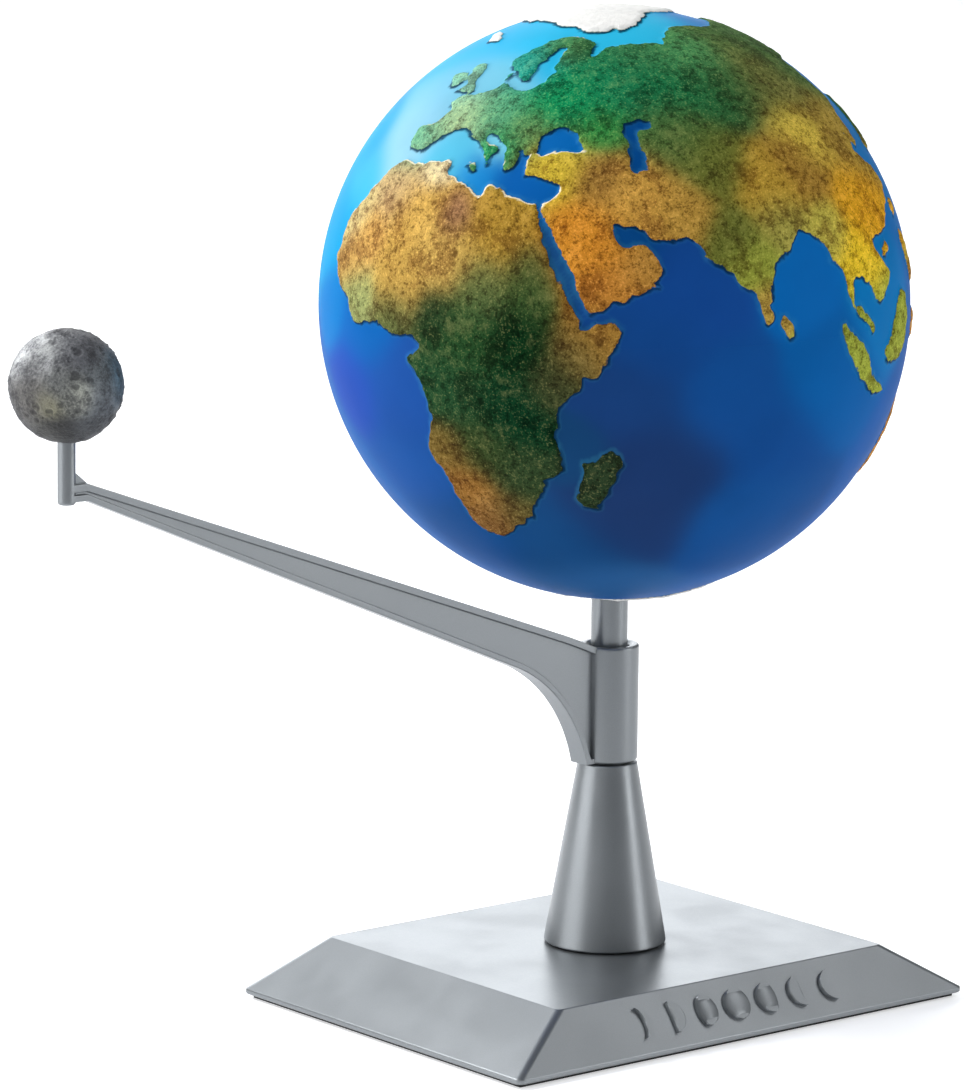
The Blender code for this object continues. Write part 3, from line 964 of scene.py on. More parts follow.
@dataclass
class Arm:
    """The arm: a hub, an I-shaped beam that sweeps down to the hub's foot, a small gusset and the moon's peg.

    top_line and low_line hold each line's height on the spindle's axis and its slope outwards.
    """

    hub_radius: float = 5.65 * MM
    bore: float = 3.75 * MM
    bore_step: tuple[float, float] = (0.7 * MM, 0.5 * MM)
    hub_top: float = 68.6 * MM
    hub_rounding: float = 0.6 * MM
    reach: float = 125 * MM
    bend: float = 121.5 * MM
    hub_width: float = 4.8 * MM
    end_width: float = 3.1 * MM
    recess: float = 1.0 * MM
    end_recess: float = 0.6 * MM
    top_flange: float = 1.4 * MM
    lower_flange: float = 1.1 * MM
    flange_edge: float = 0.18 * MM
    fine_guard: float = 0.03 * MM
    top_line: tuple[float, float] = (67.2 * MM, 0.368)
    low_line: tuple[float, float] = (56.8 * MM, 0.428)
    dip: float = 0.9 * MM
    dip_length: float = 14 * MM
    sweep_start: float = 24.5 * MM
    sweep_radius: float = 30 * MM
    peg_radius: float = 1.6 * MM
    peg_drop: float = 0.5 * MM
    peg_rounding: float = 0.5 * MM
    gusset_run: float = 3.8 * MM
    gusset_rise: float = 3.2 * MM
    gusset_width: float = 1.6 * MM
    crease: float = 28.0

    @property
    def foot(self) -> float:
        """Height of the hub's foot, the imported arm's lowest point."""
        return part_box("arm")[0].z

    @property
    def peg_top(self) -> float:
        """Height of the peg's top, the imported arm's highest point."""
        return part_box("arm")[1].z

    def build(self, silver: bpy.types.Material) -> None:
        """Build the arm as one closed moulding: the beam, joined with the hub, the peg and the gusset.

        Args:
            silver: The silver finish.
        """
        arm = self.beam()
        for form in (self.hub(), self.peg(), self.gusset()):
            union = arm.modifiers.new(form.name, "BOOLEAN")
            union.operation = "UNION"
            union.solver = "EXACT"
            union.object = form
            bpy.context.view_layer.objects.active = arm
            bpy.ops.object.modifier_apply(modifier=union.name)
            bpy.data.objects.remove(form)
        arm.data.shade_smooth()
        arm.data.set_sharp_from_angle(angle=math.radians(self.crease))
        dress(arm, silver, "arm", "arm")

    def sweep_centre(self) -> tuple[float, float]:
        """Find the centre of the arc that touches the beam's lower line where the sweep starts.

        Returns:
            Its distance from the spindle's axis, and its height.
        """
        base, slope = self.low_line
        run = math.hypot(1, slope)
        low = base + slope * self.sweep_start
        return self.sweep_start + self.sweep_radius * slope / run, low - self.sweep_radius / run

    def top_edge(self, reach: np.ndarray) -> np.ndarray:
        """Height of the beam's top: a line, level past the bend, that dips by a square law near the hub."""
        line = self.top_line[0] + self.top_line[1] * np.minimum(reach, self.bend)
        return line - self.dip * np.clip((self.dip_length - reach) / self.dip_length, 0, 1) ** 2

    def lower_edge(self, reach: np.ndarray, lift: float) -> np.ndarray:
        """Height of the beam's underside, or of a line a lift above it.

        Outside the sweep it is the lower line, level past the bend. Inside the sweep it is the circle
        about the sweep's centre with the lift added to its radius, down to the hub's foot.

        Args:
            reach: Distances from the spindle's axis.
            lift: Distance above the underside.

        Returns:
            Heights.
        """
        centre = self.sweep_centre()
        base, slope = self.low_line
        run = math.hypot(1, slope)
        line = base + slope * np.minimum(reach, self.bend) + lift * run
        radius = self.sweep_radius + lift
        circle = centre[1] + np.sqrt(np.maximum(radius ** 2 - (centre[0] - reach) ** 2, 0))
        start = self.sweep_start - lift * slope / run
        return np.maximum(np.where(reach < start, circle, line), self.foot + lift)

    def stations(self) -> np.ndarray:
        """Space out the beam's sections, closer together in the sweep, where they keep equal steps of angle.

        Returns:
            Distances from the spindle's axis.
        """
        centre = self.sweep_centre()
        flat = math.asin((self.foot - centre[1]) / self.sweep_radius)
        steep = math.pi / 2 - math.atan(self.low_line[1])
        sweep = centre[0] - self.sweep_radius * np.cos(np.linspace(flat, steep, 40))
        inside = np.linspace(self.hub_radius * 0.75, sweep[0], 6)[:-1]
        beam = np.linspace(self.sweep_start, self.bend, 60)[1:]
        end = np.linspace(self.bend, self.reach - self.peg_radius * 0.2, 8)[1:]
        return np.concatenate([inside, sweep, beam, end])

    def beam(self) -> bpy.types.Object:
        """Build the I-shaped beam: a section with round corners, carried along the stations.

        Returns:
            The new object.
        """
        reach = self.stations()
        part = reach / self.reach
        outer = (self.hub_width + (self.end_width - self.hub_width) * part) / 2
        inner = outer - (self.recess + (self.end_recess - self.recess) * part)
        top = self.top_edge(reach)
        low = self.lower_edge(reach, 0.0)
        ledge = self.lower_edge(reach, self.lower_flange)
        shelf = np.maximum(top - self.top_flange, ledge + 0.2 * MM)
        sections = []
        for o, i, t, s, g, b in zip(outer, inner, top, shelf, ledge, low):
            left = [(-o, t), (-o, s), (-i, s), (-i, g), (-o, g), (-o, b)]
            right = [(-across, height) for across, height in reversed(left)]
            sections.append(rounded(left + right, self.flange_edge, steps=3, guard=self.fine_guard))
        section = np.stack(sections)
        along = np.broadcast_to(-reach[:, None], section.shape[:2])
        return capped_piece("swing_arm", np.stack([along, section[..., 0], section[..., 1]], axis=-1))

    def hub(self) -> bpy.types.Object:
        """Build the hub: a tube with a rounded top rim and a small step round the bore.

        Returns:
            The new object.
        """
        step_width, step_drop = self.bore_step
        corners = [
            (self.bore, self.hub_top - step_drop),
            (self.bore + step_width, self.hub_top),
            (self.hub_radius, self.hub_top),
            (self.hub_radius, self.foot),
            (self.bore, self.foot),
        ]
        return turned_ring("hub_form", corners, self.hub_rounding)

    def peg(self) -> bpy.types.Object:
        """Build the moon's peg, which runs down through the beam's level end to a rounded foot.

        Returns:
            The new object.
        """
        foot = self.low_line[0] + self.low_line[1] * self.bend - self.peg_drop
        radius, top = self.peg_radius, self.peg_top
        outline = rounded([(-radius, top), (radius, top), (radius, foot), (-radius, foot)], self.peg_rounding)
        rings = turned_grid(outline[outline[:, 0] > 0], 48, (-self.reach, 0.0))
        tips = np.array([[-self.reach, 0, top], [-self.reach, 0, foot]])
        return capped_piece("peg_form", rings, tips, turn_over=True)

    def gusset(self) -> bpy.types.Object:
        """Build the small triangular web in the corner between the beam's end and the peg, as a prism.

        Returns:
            The new object.
        """
        level = self.top_line[0] + self.top_line[1] * self.bend - self.top_flange / 2
        start = self.reach - self.peg_radius / 2 - self.gusset_run
        end = start + self.gusset_run
        corners = [(start, level), (end, level), (end, level + self.gusset_rise)]
        outline = rounded(corners, 0.2 * MM, steps=3, guard=self.fine_guard)
        half = self.gusset_width / 2
        across = np.array([[-half], [half]]) + 0 * outline[:, 0]
        along, height = 0 * across - outline[:, 0], 0 * across + outline[:, 1]
        return capped_piece("gusset_form", np.stack([along, across, height], axis=-1))


# --- Globe --------------------------------------------------------------------------------------

Place = tuple[float, float]


class Kind(Enum):
    """What an outline encloses."""

    LAND = 1
    WATER = 2
    ICE = 3


@dataclass(frozen=True)
class Outline:
    """A closed outline on the map, as (latitude, longitude) points in degrees."""

    name: str
    kind: Kind
    points: tuple[Place, ...]


@dataclass(frozen=True)
class Patch:
    """A soft patch of paint at a latitude and longitude, whose strength fades over the spread in degrees."""

    latitude: float
    longitude: float
    spread: float
    colour: Triple


OLD_WORLD = Outline("europe_asia", Kind.LAND, (
    (48, 35), (46, 29.5), (43.5, 28), (42, 28), (41, 26), (42, 24), (39.5, 24), (37.5, 22), (38, 20.5),
    (39.5, 20.5), (42.5, 19), (44, 16.5), (45, 13.5), (44, 13), (42.5, 14.5), (42.5, 16.5), (41.5, 18),
    (40.5, 16.5), (38, 16.5), (39, 15), (40.5, 14.5), (42.5, 11.5), (44, 7.5), (44.5, 3.5), (43.5, 1),
    (42, -1.5), (40, -3.5), (38.5, -5.5), (38, -10), (40, -12), (42.5, -11.5), (44.5, -7), (47.5, -5.5),
    (49.5, -8), (51.5, -5.5), (53, 0), (55.5, 5.5), (58.5, 4.5), (59.5, 6.5), (56.5, 7), (55.5, 12.5),
    (56, 18), (58.5, 21.5), (62, 22.5), (66, 20.5), (69, 20.5), (68.5, 16.5), (65, 15), (62, 14.5),
    (58.5, 15), (58, 12.5), (59.5, 9), (61.5, 2), (64.5, 0.5), (66.5, 3.5), (69, 5.5), (72.5, 11),
    (74, 22.5), (72.5, 32), (71, 36), (68, 34.5), (67, 36), (68, 38.5), (70, 41), (71, 48), (71.5, 50.5),
    (72, 64), (71.5, 75), (75.5, 85), (77, 105), (73.5, 130), (72, 150), (70, 170), (66, 188), (63, 178),
    (60, 166), (54, 160), (58, 156), (60, 148), (54, 138), (46, 136), (42, 131), (36, 128), (40.5, 124),
    (38, 125), (35.5, 124), (30.5, 129), (26.5, 129.5), (22.5, 123.5), (20, 119), (19, 112), (15, 114.5),
    (11.5, 116.5), (7.5, 110.5), (11.5, 107.5), (14, 103.5), (13.5, 102), (9, 101.5), (8, 103.5),
    (3.5, 107.5), (2, 107), (4.5, 105), (7.5, 101.5), (11.5, 100), (15, 99.5), (16, 99), (18.5, 96.5),
    (21.5, 95.5), (23.5, 93), (24.5, 91), (24.5, 88.5), (22, 86.5), (19.5, 82.5), (16.5, 81), (12.5, 80),
    (9, 80), (8.5, 78.5), (10.5, 77.5), (12, 77.5), (14, 76.5), (16, 74), (18.5, 72.5), (21, 68), (24, 66),
    (25.5, 64), (25, 58.5), (26, 56), (27.5, 54), (28, 50), (28.5, 48), (26.5, 48.5), (24.5, 49.5),
    (24, 51.5), (24.5, 54), (22, 57), (19.5, 58), (17, 56), (16.5, 57), (15.5, 53.5), (14, 50.5),
    (13.5, 48.5), (12.5, 46.5), (11.5, 44.5), (14, 42.5), (15.5, 41.5), (20, 39.5), (25.5, 36), (29.5, 33),
    (31.5, 32.6), (32.5, 35), (34.5, 35.5), (35.5, 35.5), (36.5, 32), (37, 29), (37.5, 27), (40, 26.5),
    (41.5, 27.5), (41.5, 30.5), (42.5, 35.5), (42.5, 40.5), (43.5, 40.5), (45, 39), (47, 37),
))

AFRICA = Outline("africa", Kind.LAND, (
    (35.5, -9), (35.5, -5), (36.5, -0.5), (37.5, 6), (35, 7), (34, 11.5), (33, 14.5), (31.5, 17.5),
    (33.5, 18), (34.5, 19.5), (34, 21.5), (33, 22.5), (32.5, 25.5), (32, 28.5), (31.6, 31), (30, 31.6),
    (27.5, 32.5), (24, 34), (20.5, 36), (17, 38), (14, 39.5), (12, 41), (10.5, 42), (8.5, 42.5), (9.5, 46),
    (10, 48.5), (9.5, 49.5), (8.5, 50), (6.5, 49.5), (4, 48), (2, 47), (-0.5, 45), (-0.5, 43),
    (-2.5, 42.5), (-4.5, 40), (-7, 38.5), (-9.5, 38), (-13.5, 38), (-15.5, 38.5), (-19.5, 38.5),
    (-22, 35.5), (-26, 34), (-27.5, 32.5), (-31.5, 31), (-33, 29.5), (-35, 26.5), (-37.5, 24),
    (-38, 19.5), (-37.5, 17.5), (-34.5, 15), (-30.5, 14), (-26.5, 13), (-23, 12), (-20.5, 10), (-18, 9.5),
    (-15.5, 10.5), (-12, 11.5), (-10, 11), (-7, 10.5), (-4, 9), (-1, 6.5), (0.5, 8), (2, 9.5), (3, 9),
    (4, 7.5), (3.5, 4.5), (3.5, 1), (4.5, -1.5), (4, -5.5), (3, -8.5), (3.5, -11), (5.5, -12.5),
    (7.5, -14.5), (9, -18.5), (13, -21.5), (15.5, -21), (21, -21), (24, -19), (29, -15.5), (33, -13),
    (34.5, -11),
))

ISLANDS = (
    Outline("madagascar", Kind.LAND, (
        (-15, 48.5), (-17, 50.5), (-19.5, 50), (-23, 48.5), (-27, 46.5), (-28.5, 45), (-28, 43),
        (-26, 41.5), (-24.5, 42), (-20.5, 43), (-18, 43), (-17, 45.5), (-15.5, 47.5),
    )),
    Outline("britain", Kind.LAND, (
        (60, -10.5), (58, -8), (55.5, -6), (53.5, -3.5), (52.5, -5), (52, -11), (53.5, -8.5), (55, -10),
        (57, -13), (59.5, -14),
    )),
    Outline("ireland", Kind.LAND, ((56.5, -15), (54.5, -12), (53, -13.5), (53, -16), (55, -19.5))),
    Outline("sicily", Kind.LAND, ((38.5, 11.5), (37.5, 13.5), (36.5, 13.5), (37.5, 10.5))),
    Outline("ceylon", Kind.LAND, ((9.5, 82.5), (8.5, 84), (6.5, 85), (5, 84.5), (6, 83), (8, 82))),
    Outline("sumatra", Kind.LAND, (
        (5.5, 97), (5, 99), (2.5, 101.5), (-1, 105.5), (-5, 107), (-10, 113), (-9, 108), (-5.5, 103.5),
        (-1.5, 100), (2, 98),
    )),
    Outline("borneo", Kind.LAND, (
        (7.5, 122.5), (4, 125), (-2, 124), (-5.5, 120), (-4.5, 114), (-2, 112.5), (-0.5, 114.5), (4.5, 118),
    )),
    Outline("hainan", Kind.LAND, ((18, 118), (16, 118), (15.5, 115.5), (17, 115.5))),
    Outline("taiwan", Kind.LAND, ((24, 131), (22, 131.5), (20.5, 130), (22.5, 129))),
    Outline("philippines", Kind.LAND, ((18, 130), (15, 132), (10, 134), (7, 133), (11, 131), (15, 129))),
    Outline("iceland", Kind.ICE, ((67.5, -42), (67, -34), (66, -29), (64.5, -34), (65.5, -41))),
    Outline("new_guinea", Kind.LAND, ((0, 138), (-2, 146), (-6, 152), (-9, 150), (-8, 143), (-4, 138))),
    Outline("japan", Kind.LAND, (
        (45, 149), (42, 151), (36, 147), (33, 139), (35, 138), (38, 144), (42, 147),
    )),
    Outline("new_zealand", Kind.LAND, ((-35, 178), (-40, 184), (-46, 176), (-46, 172), (-40, 178))),
    Outline("australia", Kind.LAND, (
        (-11, 158), (-17, 162), (-25, 170), (-33, 169), (-38, 164), (-36, 155), (-32, 150), (-34, 138),
        (-34, 133), (-26, 130), (-20, 135), (-15, 142), (-12, 148), (-16, 154),
    )),
    Outline("caspian", Kind.WATER, (
        (49, 50.5), (49.5, 53), (50, 57.5), (48, 58), (47.5, 54.5), (46, 54), (44, 55), (43, 56), (40, 56),
        (39, 55.5), (38.5, 53.5), (40, 52), (42, 52), (44.5, 51.5), (46.5, 50),
    )),
)

NEW_WORLD = (
    Outline("north_america", Kind.LAND, (
        (70, -162), (71, -145), (69, -127), (72, -110), (68, -104), (62, -109), (56, -103), (53, -96),
        (58, -97), (57, -89), (52, -80), (47, -82), (44, -86), (37, -91), (31, -95), (26, -94), (30, -100),
        (29, -106), (22, -110), (19, -107), (21, -101), (16, -101), (10, -97), (8, -93), (7, -96), (14, -105),
        (18, -114), (27, -121), (34, -128), (44, -132), (52, -137), (59, -145), (58, -158), (64, -167),
    )),
    Outline("south_america", Kind.LAND, (
        (11, -90), (11, -80), (5, -71), (-2, -64), (-6, -57), (-14, -60), (-23, -63), (-30, -69),
        (-37, -75), (-44, -82), (-53, -86), (-50, -91), (-38, -90), (-20, -87), (-14, -92), (-4, -96),
        (3, -93), (7, -92),
    )),
)

ICE = (
    Outline("arctic", Kind.ICE, (
        (73, -46), (74.5, -42), (77, -21.5), (76.5, -9), (77.5, 10), (76, 22), (77, 39.5), (79, 45.5),
        (77.5, 49.5), (79, 59.5), (81.5, 74.5), (83.5, 95), (85, 125), (84, 150), (79, 168), (74, 190),
        (71, 220), (71, 245), (72, 258), (66, 264), (60, 272), (62, 277), (68, 279), (70.5, 298),
    )),
    Outline("antarctic", Kind.ICE, (
        (-76, 0), (-71, -30), (-74, -50), (-66, -62), (-73, -90), (-75, -130), (-78, -170), (-71, -195),
        (-66, -225), (-69, -260), (-77, -295), (-80, -330),
    )),
)

LAND_PAINT = (
    Patch(27, 2, 5, (184, 144, 66)), Patch(27, 13, 3, (140, 98, 74)), Patch(25, 6, 4, (196, 158, 82)),
    Patch(26, 24, 6, (162, 126, 46)), Patch(20, 14, 5, (186, 152, 78)), Patch(31, -5, 5, (184, 156, 110)),
    Patch(35.5, 3, 3, (218, 202, 158)), Patch(23, -17, 4, (192, 174, 120)), Patch(19, -10, 4, (196, 152, 80)),
    Patch(15, -12, 4, (178, 140, 76)), Patch(14, 2, 5, (180, 144, 70)), Patch(16, 22, 4, (104, 110, 60)),
    Patch(13, 22, 4, (68, 92, 52)), Patch(19, 32, 4, (72, 88, 46)), Patch(14, 33, 4, (58, 84, 42)),
    Patch(9, -9, 4, (140, 148, 92)), Patch(7, 2, 4, (84, 96, 54)), Patch(8, 13, 4, (34, 58, 32)),
    Patch(5, 20, 6, (38, 74, 38)), Patch(-5, 17, 6, (34, 72, 42)), Patch(6, 31, 6, (6, 48, 22)),
    Patch(8, 46, 5, (160, 120, 52)), Patch(4, 42, 4, (100, 88, 46)), Patch(-2, 38, 4, (64, 70, 40)),
    Patch(-8, 30, 6, (8, 54, 30)), Patch(-18, 14, 4, (116, 94, 44)), Patch(-17, 22, 5, (52, 70, 36)),
    Patch(-26, 17, 5, (146, 102, 46)), Patch(-33, 21, 5, (124, 88, 46)), Patch(-22, 30, 5, (46, 66, 38)),
    Patch(-31, 28, 4, (92, 82, 42)), Patch(-21, 46, 5, (40, 58, 36)), Patch(40, -7, 5, (104, 168, 134)),
    Patch(46, 1, 5, (152, 180, 134)), Patch(50, 12, 5, (84, 156, 116)), Patch(55, -8, 6, (128, 186, 160)),
    Patch(62, 10, 6, (24, 146, 130)), Patch(68, 22, 4, (70, 126, 70)), Patch(42, 20, 4, (40, 148, 92)),
    Patch(46, 24, 4, (96, 128, 76)), Patch(53, 31, 7, (6, 140, 84)), Patch(60, 45, 8, (22, 120, 78)),
    Patch(48, 44, 4, (52, 132, 60)), Patch(60, 65, 8, (24, 112, 66)), Patch(66, 82, 6, (78, 146, 88)),
    Patch(58, 90, 7, (40, 98, 54)), Patch(56, 108, 8, (112, 112, 58)), Patch(68, 60, 5, (60, 118, 74)),
    Patch(39, 33, 5, (200, 172, 54)), Patch(37, 45, 4, (150, 112, 52)), Patch(33, 54, 6, (198, 150, 66)),
    Patch(30, 63, 4, (180, 140, 60)), Patch(24, 43, 6, (208, 136, 42)), Patch(16, 47, 5, (190, 126, 50)),
    Patch(20, 54, 4, (176, 128, 56)), Patch(46, 64, 6, (74, 104, 52)), Patch(40, 72, 5, (106, 112, 46)),
    Patch(34, 86, 5, (186, 150, 54)), Patch(37, 97, 5, (160, 122, 50)), Patch(43, 104, 5, (220, 192, 76)),
    Patch(25, 73, 4, (104, 110, 46)), Patch(19, 77, 4, (144, 152, 58)), Patch(12, 79, 3, (178, 146, 66)),
    Patch(27, 86, 4, (154, 148, 68)), Patch(23, 97, 4, (184, 172, 72)), Patch(16, 105, 5, (228, 192, 42)),
    Patch(26, 113, 6, (216, 158, 34)), Patch(40, 120, 7, (168, 140, 60)), Patch(62, 140, 12, (70, 104, 56)),
    Patch(2, 105, 8, (150, 160, 60)), Patch(60, -120, 14, (60, 112, 60)), Patch(42, -110, 10, (120, 130, 66)),
    Patch(32, -117, 8, (186, 146, 70)), Patch(-5, -78, 12, (32, 84, 40)), Patch(-25, -78, 8, (112, 112, 52)),
    Patch(-42, -86, 8, (160, 120, 62)), Patch(-25, 149, 12, (184, 132, 60)), Patch(36, -95, 8, (76, 112, 54)),
)

DEEP_SEA = (16, 84, 158)

# Sea colours. The pale patches over the north-east Atlantic, the North Sea and the western Mediterranean are
# a painted reflection of a broad light.
SEA_PAINT_AND_SHEEN = (
    Patch(80, 20, 9, (40, 178, 218)), Patch(72, 0, 8, (34, 176, 220)), Patch(58, 3, 6, (112, 186, 210)),
    Patch(52, -16, 9, (110, 176, 202)), Patch(42, -16, 7, (140, 190, 212)), Patch(68, -30, 7, (44, 172, 214)),
    Patch(64, 18, 4, (24, 168, 212)), Patch(62, -40, 8, (20, 160, 214)), Patch(30, -24, 5, (56, 164, 204)),
    Patch(36, -34, 6, (2, 146, 198)), Patch(18, -30, 7, (0, 142, 192)), Patch(4, -22, 5, (0, 108, 176)),
    Patch(39, 5, 5, (78, 176, 208)), Patch(36, 14, 4, (16, 124, 192)), Patch(34, 26, 5, (2, 88, 164)),
    Patch(43, 16, 3, (110, 188, 210)), Patch(44, 34, 5, (2, 96, 170)), Patch(44, 53, 5, (2, 72, 140)),
    Patch(2, -8, 6, (4, 90, 164)), Patch(-10, 2, 7, (26, 76, 152)), Patch(-24, 2, 7, (24, 78, 150)),
    Patch(-10, -12, 6, (30, 70, 160)), Patch(-40, 10, 8, (16, 70, 130)), Patch(22, 37, 4, (22, 74, 128)),
    Patch(26, 52, 4, (6, 72, 136)), Patch(16, 63, 7, (20, 72, 146)), Patch(6, 58, 6, (18, 68, 134)),
    Patch(-4, 54, 6, (22, 60, 116)), Patch(-6, 70, 7, (16, 74, 142)), Patch(-18, 60, 8, (24, 52, 100)),
    Patch(-32, 54, 8, (26, 52, 98)), Patch(-16, 42, 4, (18, 62, 106)), Patch(-42, 36, 8, (18, 66, 116)),
    Patch(-15, 82, 7, (14, 70, 136)), Patch(-4, 94, 7, (0, 90, 160)), Patch(14, 88, 5, (0, 100, 176)),
    Patch(-34, 80, 8, (14, 74, 138)), Patch(8, 112, 6, (0, 112, 178)), Patch(-55, 40, 8, (38, 86, 138)),
    Patch(0, -130, 40, DEEP_SEA), Patch(40, -160, 25, (30, 120, 186)), Patch(-60, -60, 25, (26, 90, 160)),
)


@dataclass(frozen=True)
class Sphere:
    """A ball that is made as two half shells.

    hole is the radius of the lower half's opening, and cells is how many cells of the outside's square grid
    lie across each half. hole_cells of them lie between the pole and the opening, and the square ring that
    is k cells from the pole has 8 k points. top_ring is the radius of the inside's first ring round the
    upper pole.
    """

    centre: Vector
    radius: float
    wall: float
    hole: float
    cells: int
    hole_cells: int = 8
    inner_rows: int = 18
    top_ring: float = 0.4 * MM
    seam: float = 0.003 * MM

    def rings(self) -> np.ndarray:
        """Number of the square ring that each point of the outside's grid lies on, counted from the pole."""
        side = np.abs(np.arange(self.cells + 1) - self.cells // 2)
        return np.maximum(side[:, None], side[None, :]).ravel()

    def directions(self, north: bool) -> np.ndarray:
        """Directions of a half ball's surface points, evenly spread and round in rings.

        A square grid of (a, b) from -1 to 1 becomes rings: a ring's size is the larger of |a| and |b|, and
        its angle runs along the square's sides. A ring of size r then lies at height 1 - r^2 with radius
        r sqrt(2 - r^2), which keeps every cell's area alike. The lower half leaves out the cells inside its
        hole, whose ring is exactly round.

        Args:
            north: Whether it is the upper half.

        Returns:
            Grid of unit vectors, with the pole at its middle.
        """
        side = np.linspace(-1, 1, self.cells + 1)
        a, b = np.meshgrid(side, side, indexing="ij")
        flat = np.abs(a) >= np.abs(b)
        ring = np.where(flat, a, b)
        safe = np.where(ring == 0, 1.0, ring)
        angle = np.where(flat, math.pi / 4 * b / safe, math.pi / 2 - math.pi / 4 * a / safe)
        size = np.abs(ring)
        if not north:
            first = 2 * self.hole_cells / self.cells
            sine = self.hole / self.radius
            wanted = math.sqrt(1 - math.sqrt(1 - sine ** 2))
            outer = wanted + (size - first) * (1 - wanted) / (1 - first)
            size = np.where(size < first, size * wanted / first, outer)
        flat_radius = size * np.sqrt(2 - size ** 2) * np.sign(safe)
        height = 1 - size ** 2
        up = 1 if north else -1
        return np.stack([flat_radius * np.cos(angle), flat_radius * np.sin(angle), up * height], axis=-1)

    def inside(self, north: bool) -> np.ndarray:
        """Points of a half shell's inside: rings of one sphere, from the pole or the hole to the seam.

        Args:
            north: Whether it is the upper half.

        Returns:
            Grid of points about the ball's centre, with one row for each ring.
        """
        up = 1 if north else -1
        radius = self.radius - self.wall
        start = math.asin((self.top_ring if north else self.hole) / radius)
        polar = np.linspace(start, math.asin(1.0), self.inner_rows)[:, None]
        angle = np.linspace(0, math.tau, 8 * self.hole_cells, endpoint=False)
        height = up * np.maximum(radius * np.cos(polar) + 0 * angle, self.seam)
        x, y = radius * np.sin(polar) * np.cos(angle), radius * np.sin(polar) * np.sin(angle)
        return np.stack([x, y, height], axis=-1)

    def half(self, name: str, north: bool, lift: np.ndarray, unit: np.ndarray) -> bpy.types.Object:
        """Build a half shell with its outside lifted, a flat rim at the seam and a plain inside.

        Args:
            name: The piece's name.
            north: Whether it is the upper half.
            lift: How far each outside point stands off the ball, in metres.
            unit: The outside points' directions, from directions().

        Returns:
            The new object, whose first points are the outside's.
        """
        up = 1 if north else -1
        columns = self.cells + 1
        outside = unit * (self.radius + lift)[..., None]
        outside[..., 2] = up * np.maximum(up * outside[..., 2], self.seam)
        inside = self.inside(north)
        rows, steps = inside.shape[:2]
        offset = columns * columns
        quads = grid_faces(columns, columns, False, False)
        inner_quads = grid_faces(rows, steps, False, True, offset)
        inner_top = np.arange(steps) + offset
        inner_rim = inner_top + (rows - 1) * steps
        rim_faces = zip_rings(self.ordered_ring(outside, self.cells // 2), inner_rim)
        points = [outside.reshape(-1, 3), inside.reshape(-1, 3)]
        if north:
            points.append(np.array([[0, 0, self.radius - self.wall]]))
            quads = quads[:, ::-1]
            cap = fan_faces(inner_top, offset + rows * steps, flip=True)
            triangles = np.concatenate([rim_faces[:, ::-1], cap])
        else:
            quads = quads[self.rings()[quads].max(axis=1) > self.hole_cells]
            inner_quads = inner_quads[:, ::-1]
            hole_faces = zip_rings(self.ordered_ring(outside, self.hole_cells), inner_top)[:, ::-1]
            triangles = np.concatenate([rim_faces, hole_faces])
        points = np.concatenate(points)
        faces = np.concatenate([quads, inner_quads])
        used = np.zeros(len(points), dtype=bool)
        used[faces.ravel()] = True
        used[triangles.ravel()] = True
        renumber = np.cumsum(used) - 1
        placed = points[used] + np.array(self.centre)
        return make_piece(name, placed, Faces(renumber[faces], renumber[triangles]), sharp=60)

    def ordered_ring(self, outside: np.ndarray, number: int) -> np.ndarray:
        """Point numbers of one ring of the outside's grid, in order of their heading from the X axis.

        Args:
            outside: Grid of the outside's points about the ball's centre.
            number: The ring's number, counted from the pole.

        Returns:
            The point numbers.
        """
        heading = np.round(np.arctan2(outside[..., 1], outside[..., 0]), 7).ravel() % math.tau
        members = np.flatnonzero(self.rings() == number)
        return members[np.argsort(heading[members])]

    def store_layers(self, piece: bpy.types.Object, north: bool, layers: dict[str, tuple]) -> None:
        """Store paint layers on a half shell.

        Args:
            piece: The half shell.
            north: Whether it is the upper half.
            layers: For each layer's name, its values on the outside's grid and one value for the inside.
        """
        rings = self.rings()
        kept = np.ones(len(rings), dtype=bool) if north else rings >= self.hole_cells
        rest = len(piece.data.vertices) - int(kept.sum())
        for name, (values, inner) in layers.items():
            filler = np.broadcast_to(inner, (rest, *values.shape[1:]))
            store(piece, name, np.concatenate([values[kept], filler]))


@dataclass(frozen=True)
class Waves:
    """A layer of smooth random relief: sines along random directions.

    size is the wavelength in the points' units, count the number of sines, seed the seed of their random
    directions and phases, and share the layer's part in a sum.
    """

    size: float
    count: int
    seed: int
    share: float

    def heights(self, points: np.ndarray) -> np.ndarray:
        """Sum the sines, divide by the square root of their number, and scale by the share.

        Args:
            points: Rows of three coordinates.

        Returns:
            One number for each point, mostly between -1 and 1 times the share.
        """
        random = np.random.default_rng(self.seed)
        heading = random.normal(size=(3, self.count))
        heading /= np.linalg.norm(heading, axis=0)
        heading *= math.tau / self.size * random.uniform(0.7, 1.4, self.count)
        total = np.sin(points @ heading + random.uniform(0, math.tau, self.count)).sum(axis=1)
        return total / math.sqrt(self.count) * self.share


def layered_waves(points: np.ndarray, layers: tuple[Waves, ...]) -> np.ndarray:
    """Sum of several layers of relief at rows of points."""
    return sum(layer.heights(points) for layer in layers)


def place_vectors(places: np.ndarray) -> np.ndarray:
    """Turn places into unit vectors: (cos lat cos lon, cos lat sin lon, sin lat).

    Args:
        places: One row of latitude and longitude in degrees for each place.

    Returns:
        One unit vector for each place.
    """
    latitude, longitude = np.radians(places[:, 0]), np.radians(places[:, 1])
    level = np.cos(latitude)
    return np.stack([level * np.cos(longitude), level * np.sin(longitude), np.sin(latitude)], axis=-1)


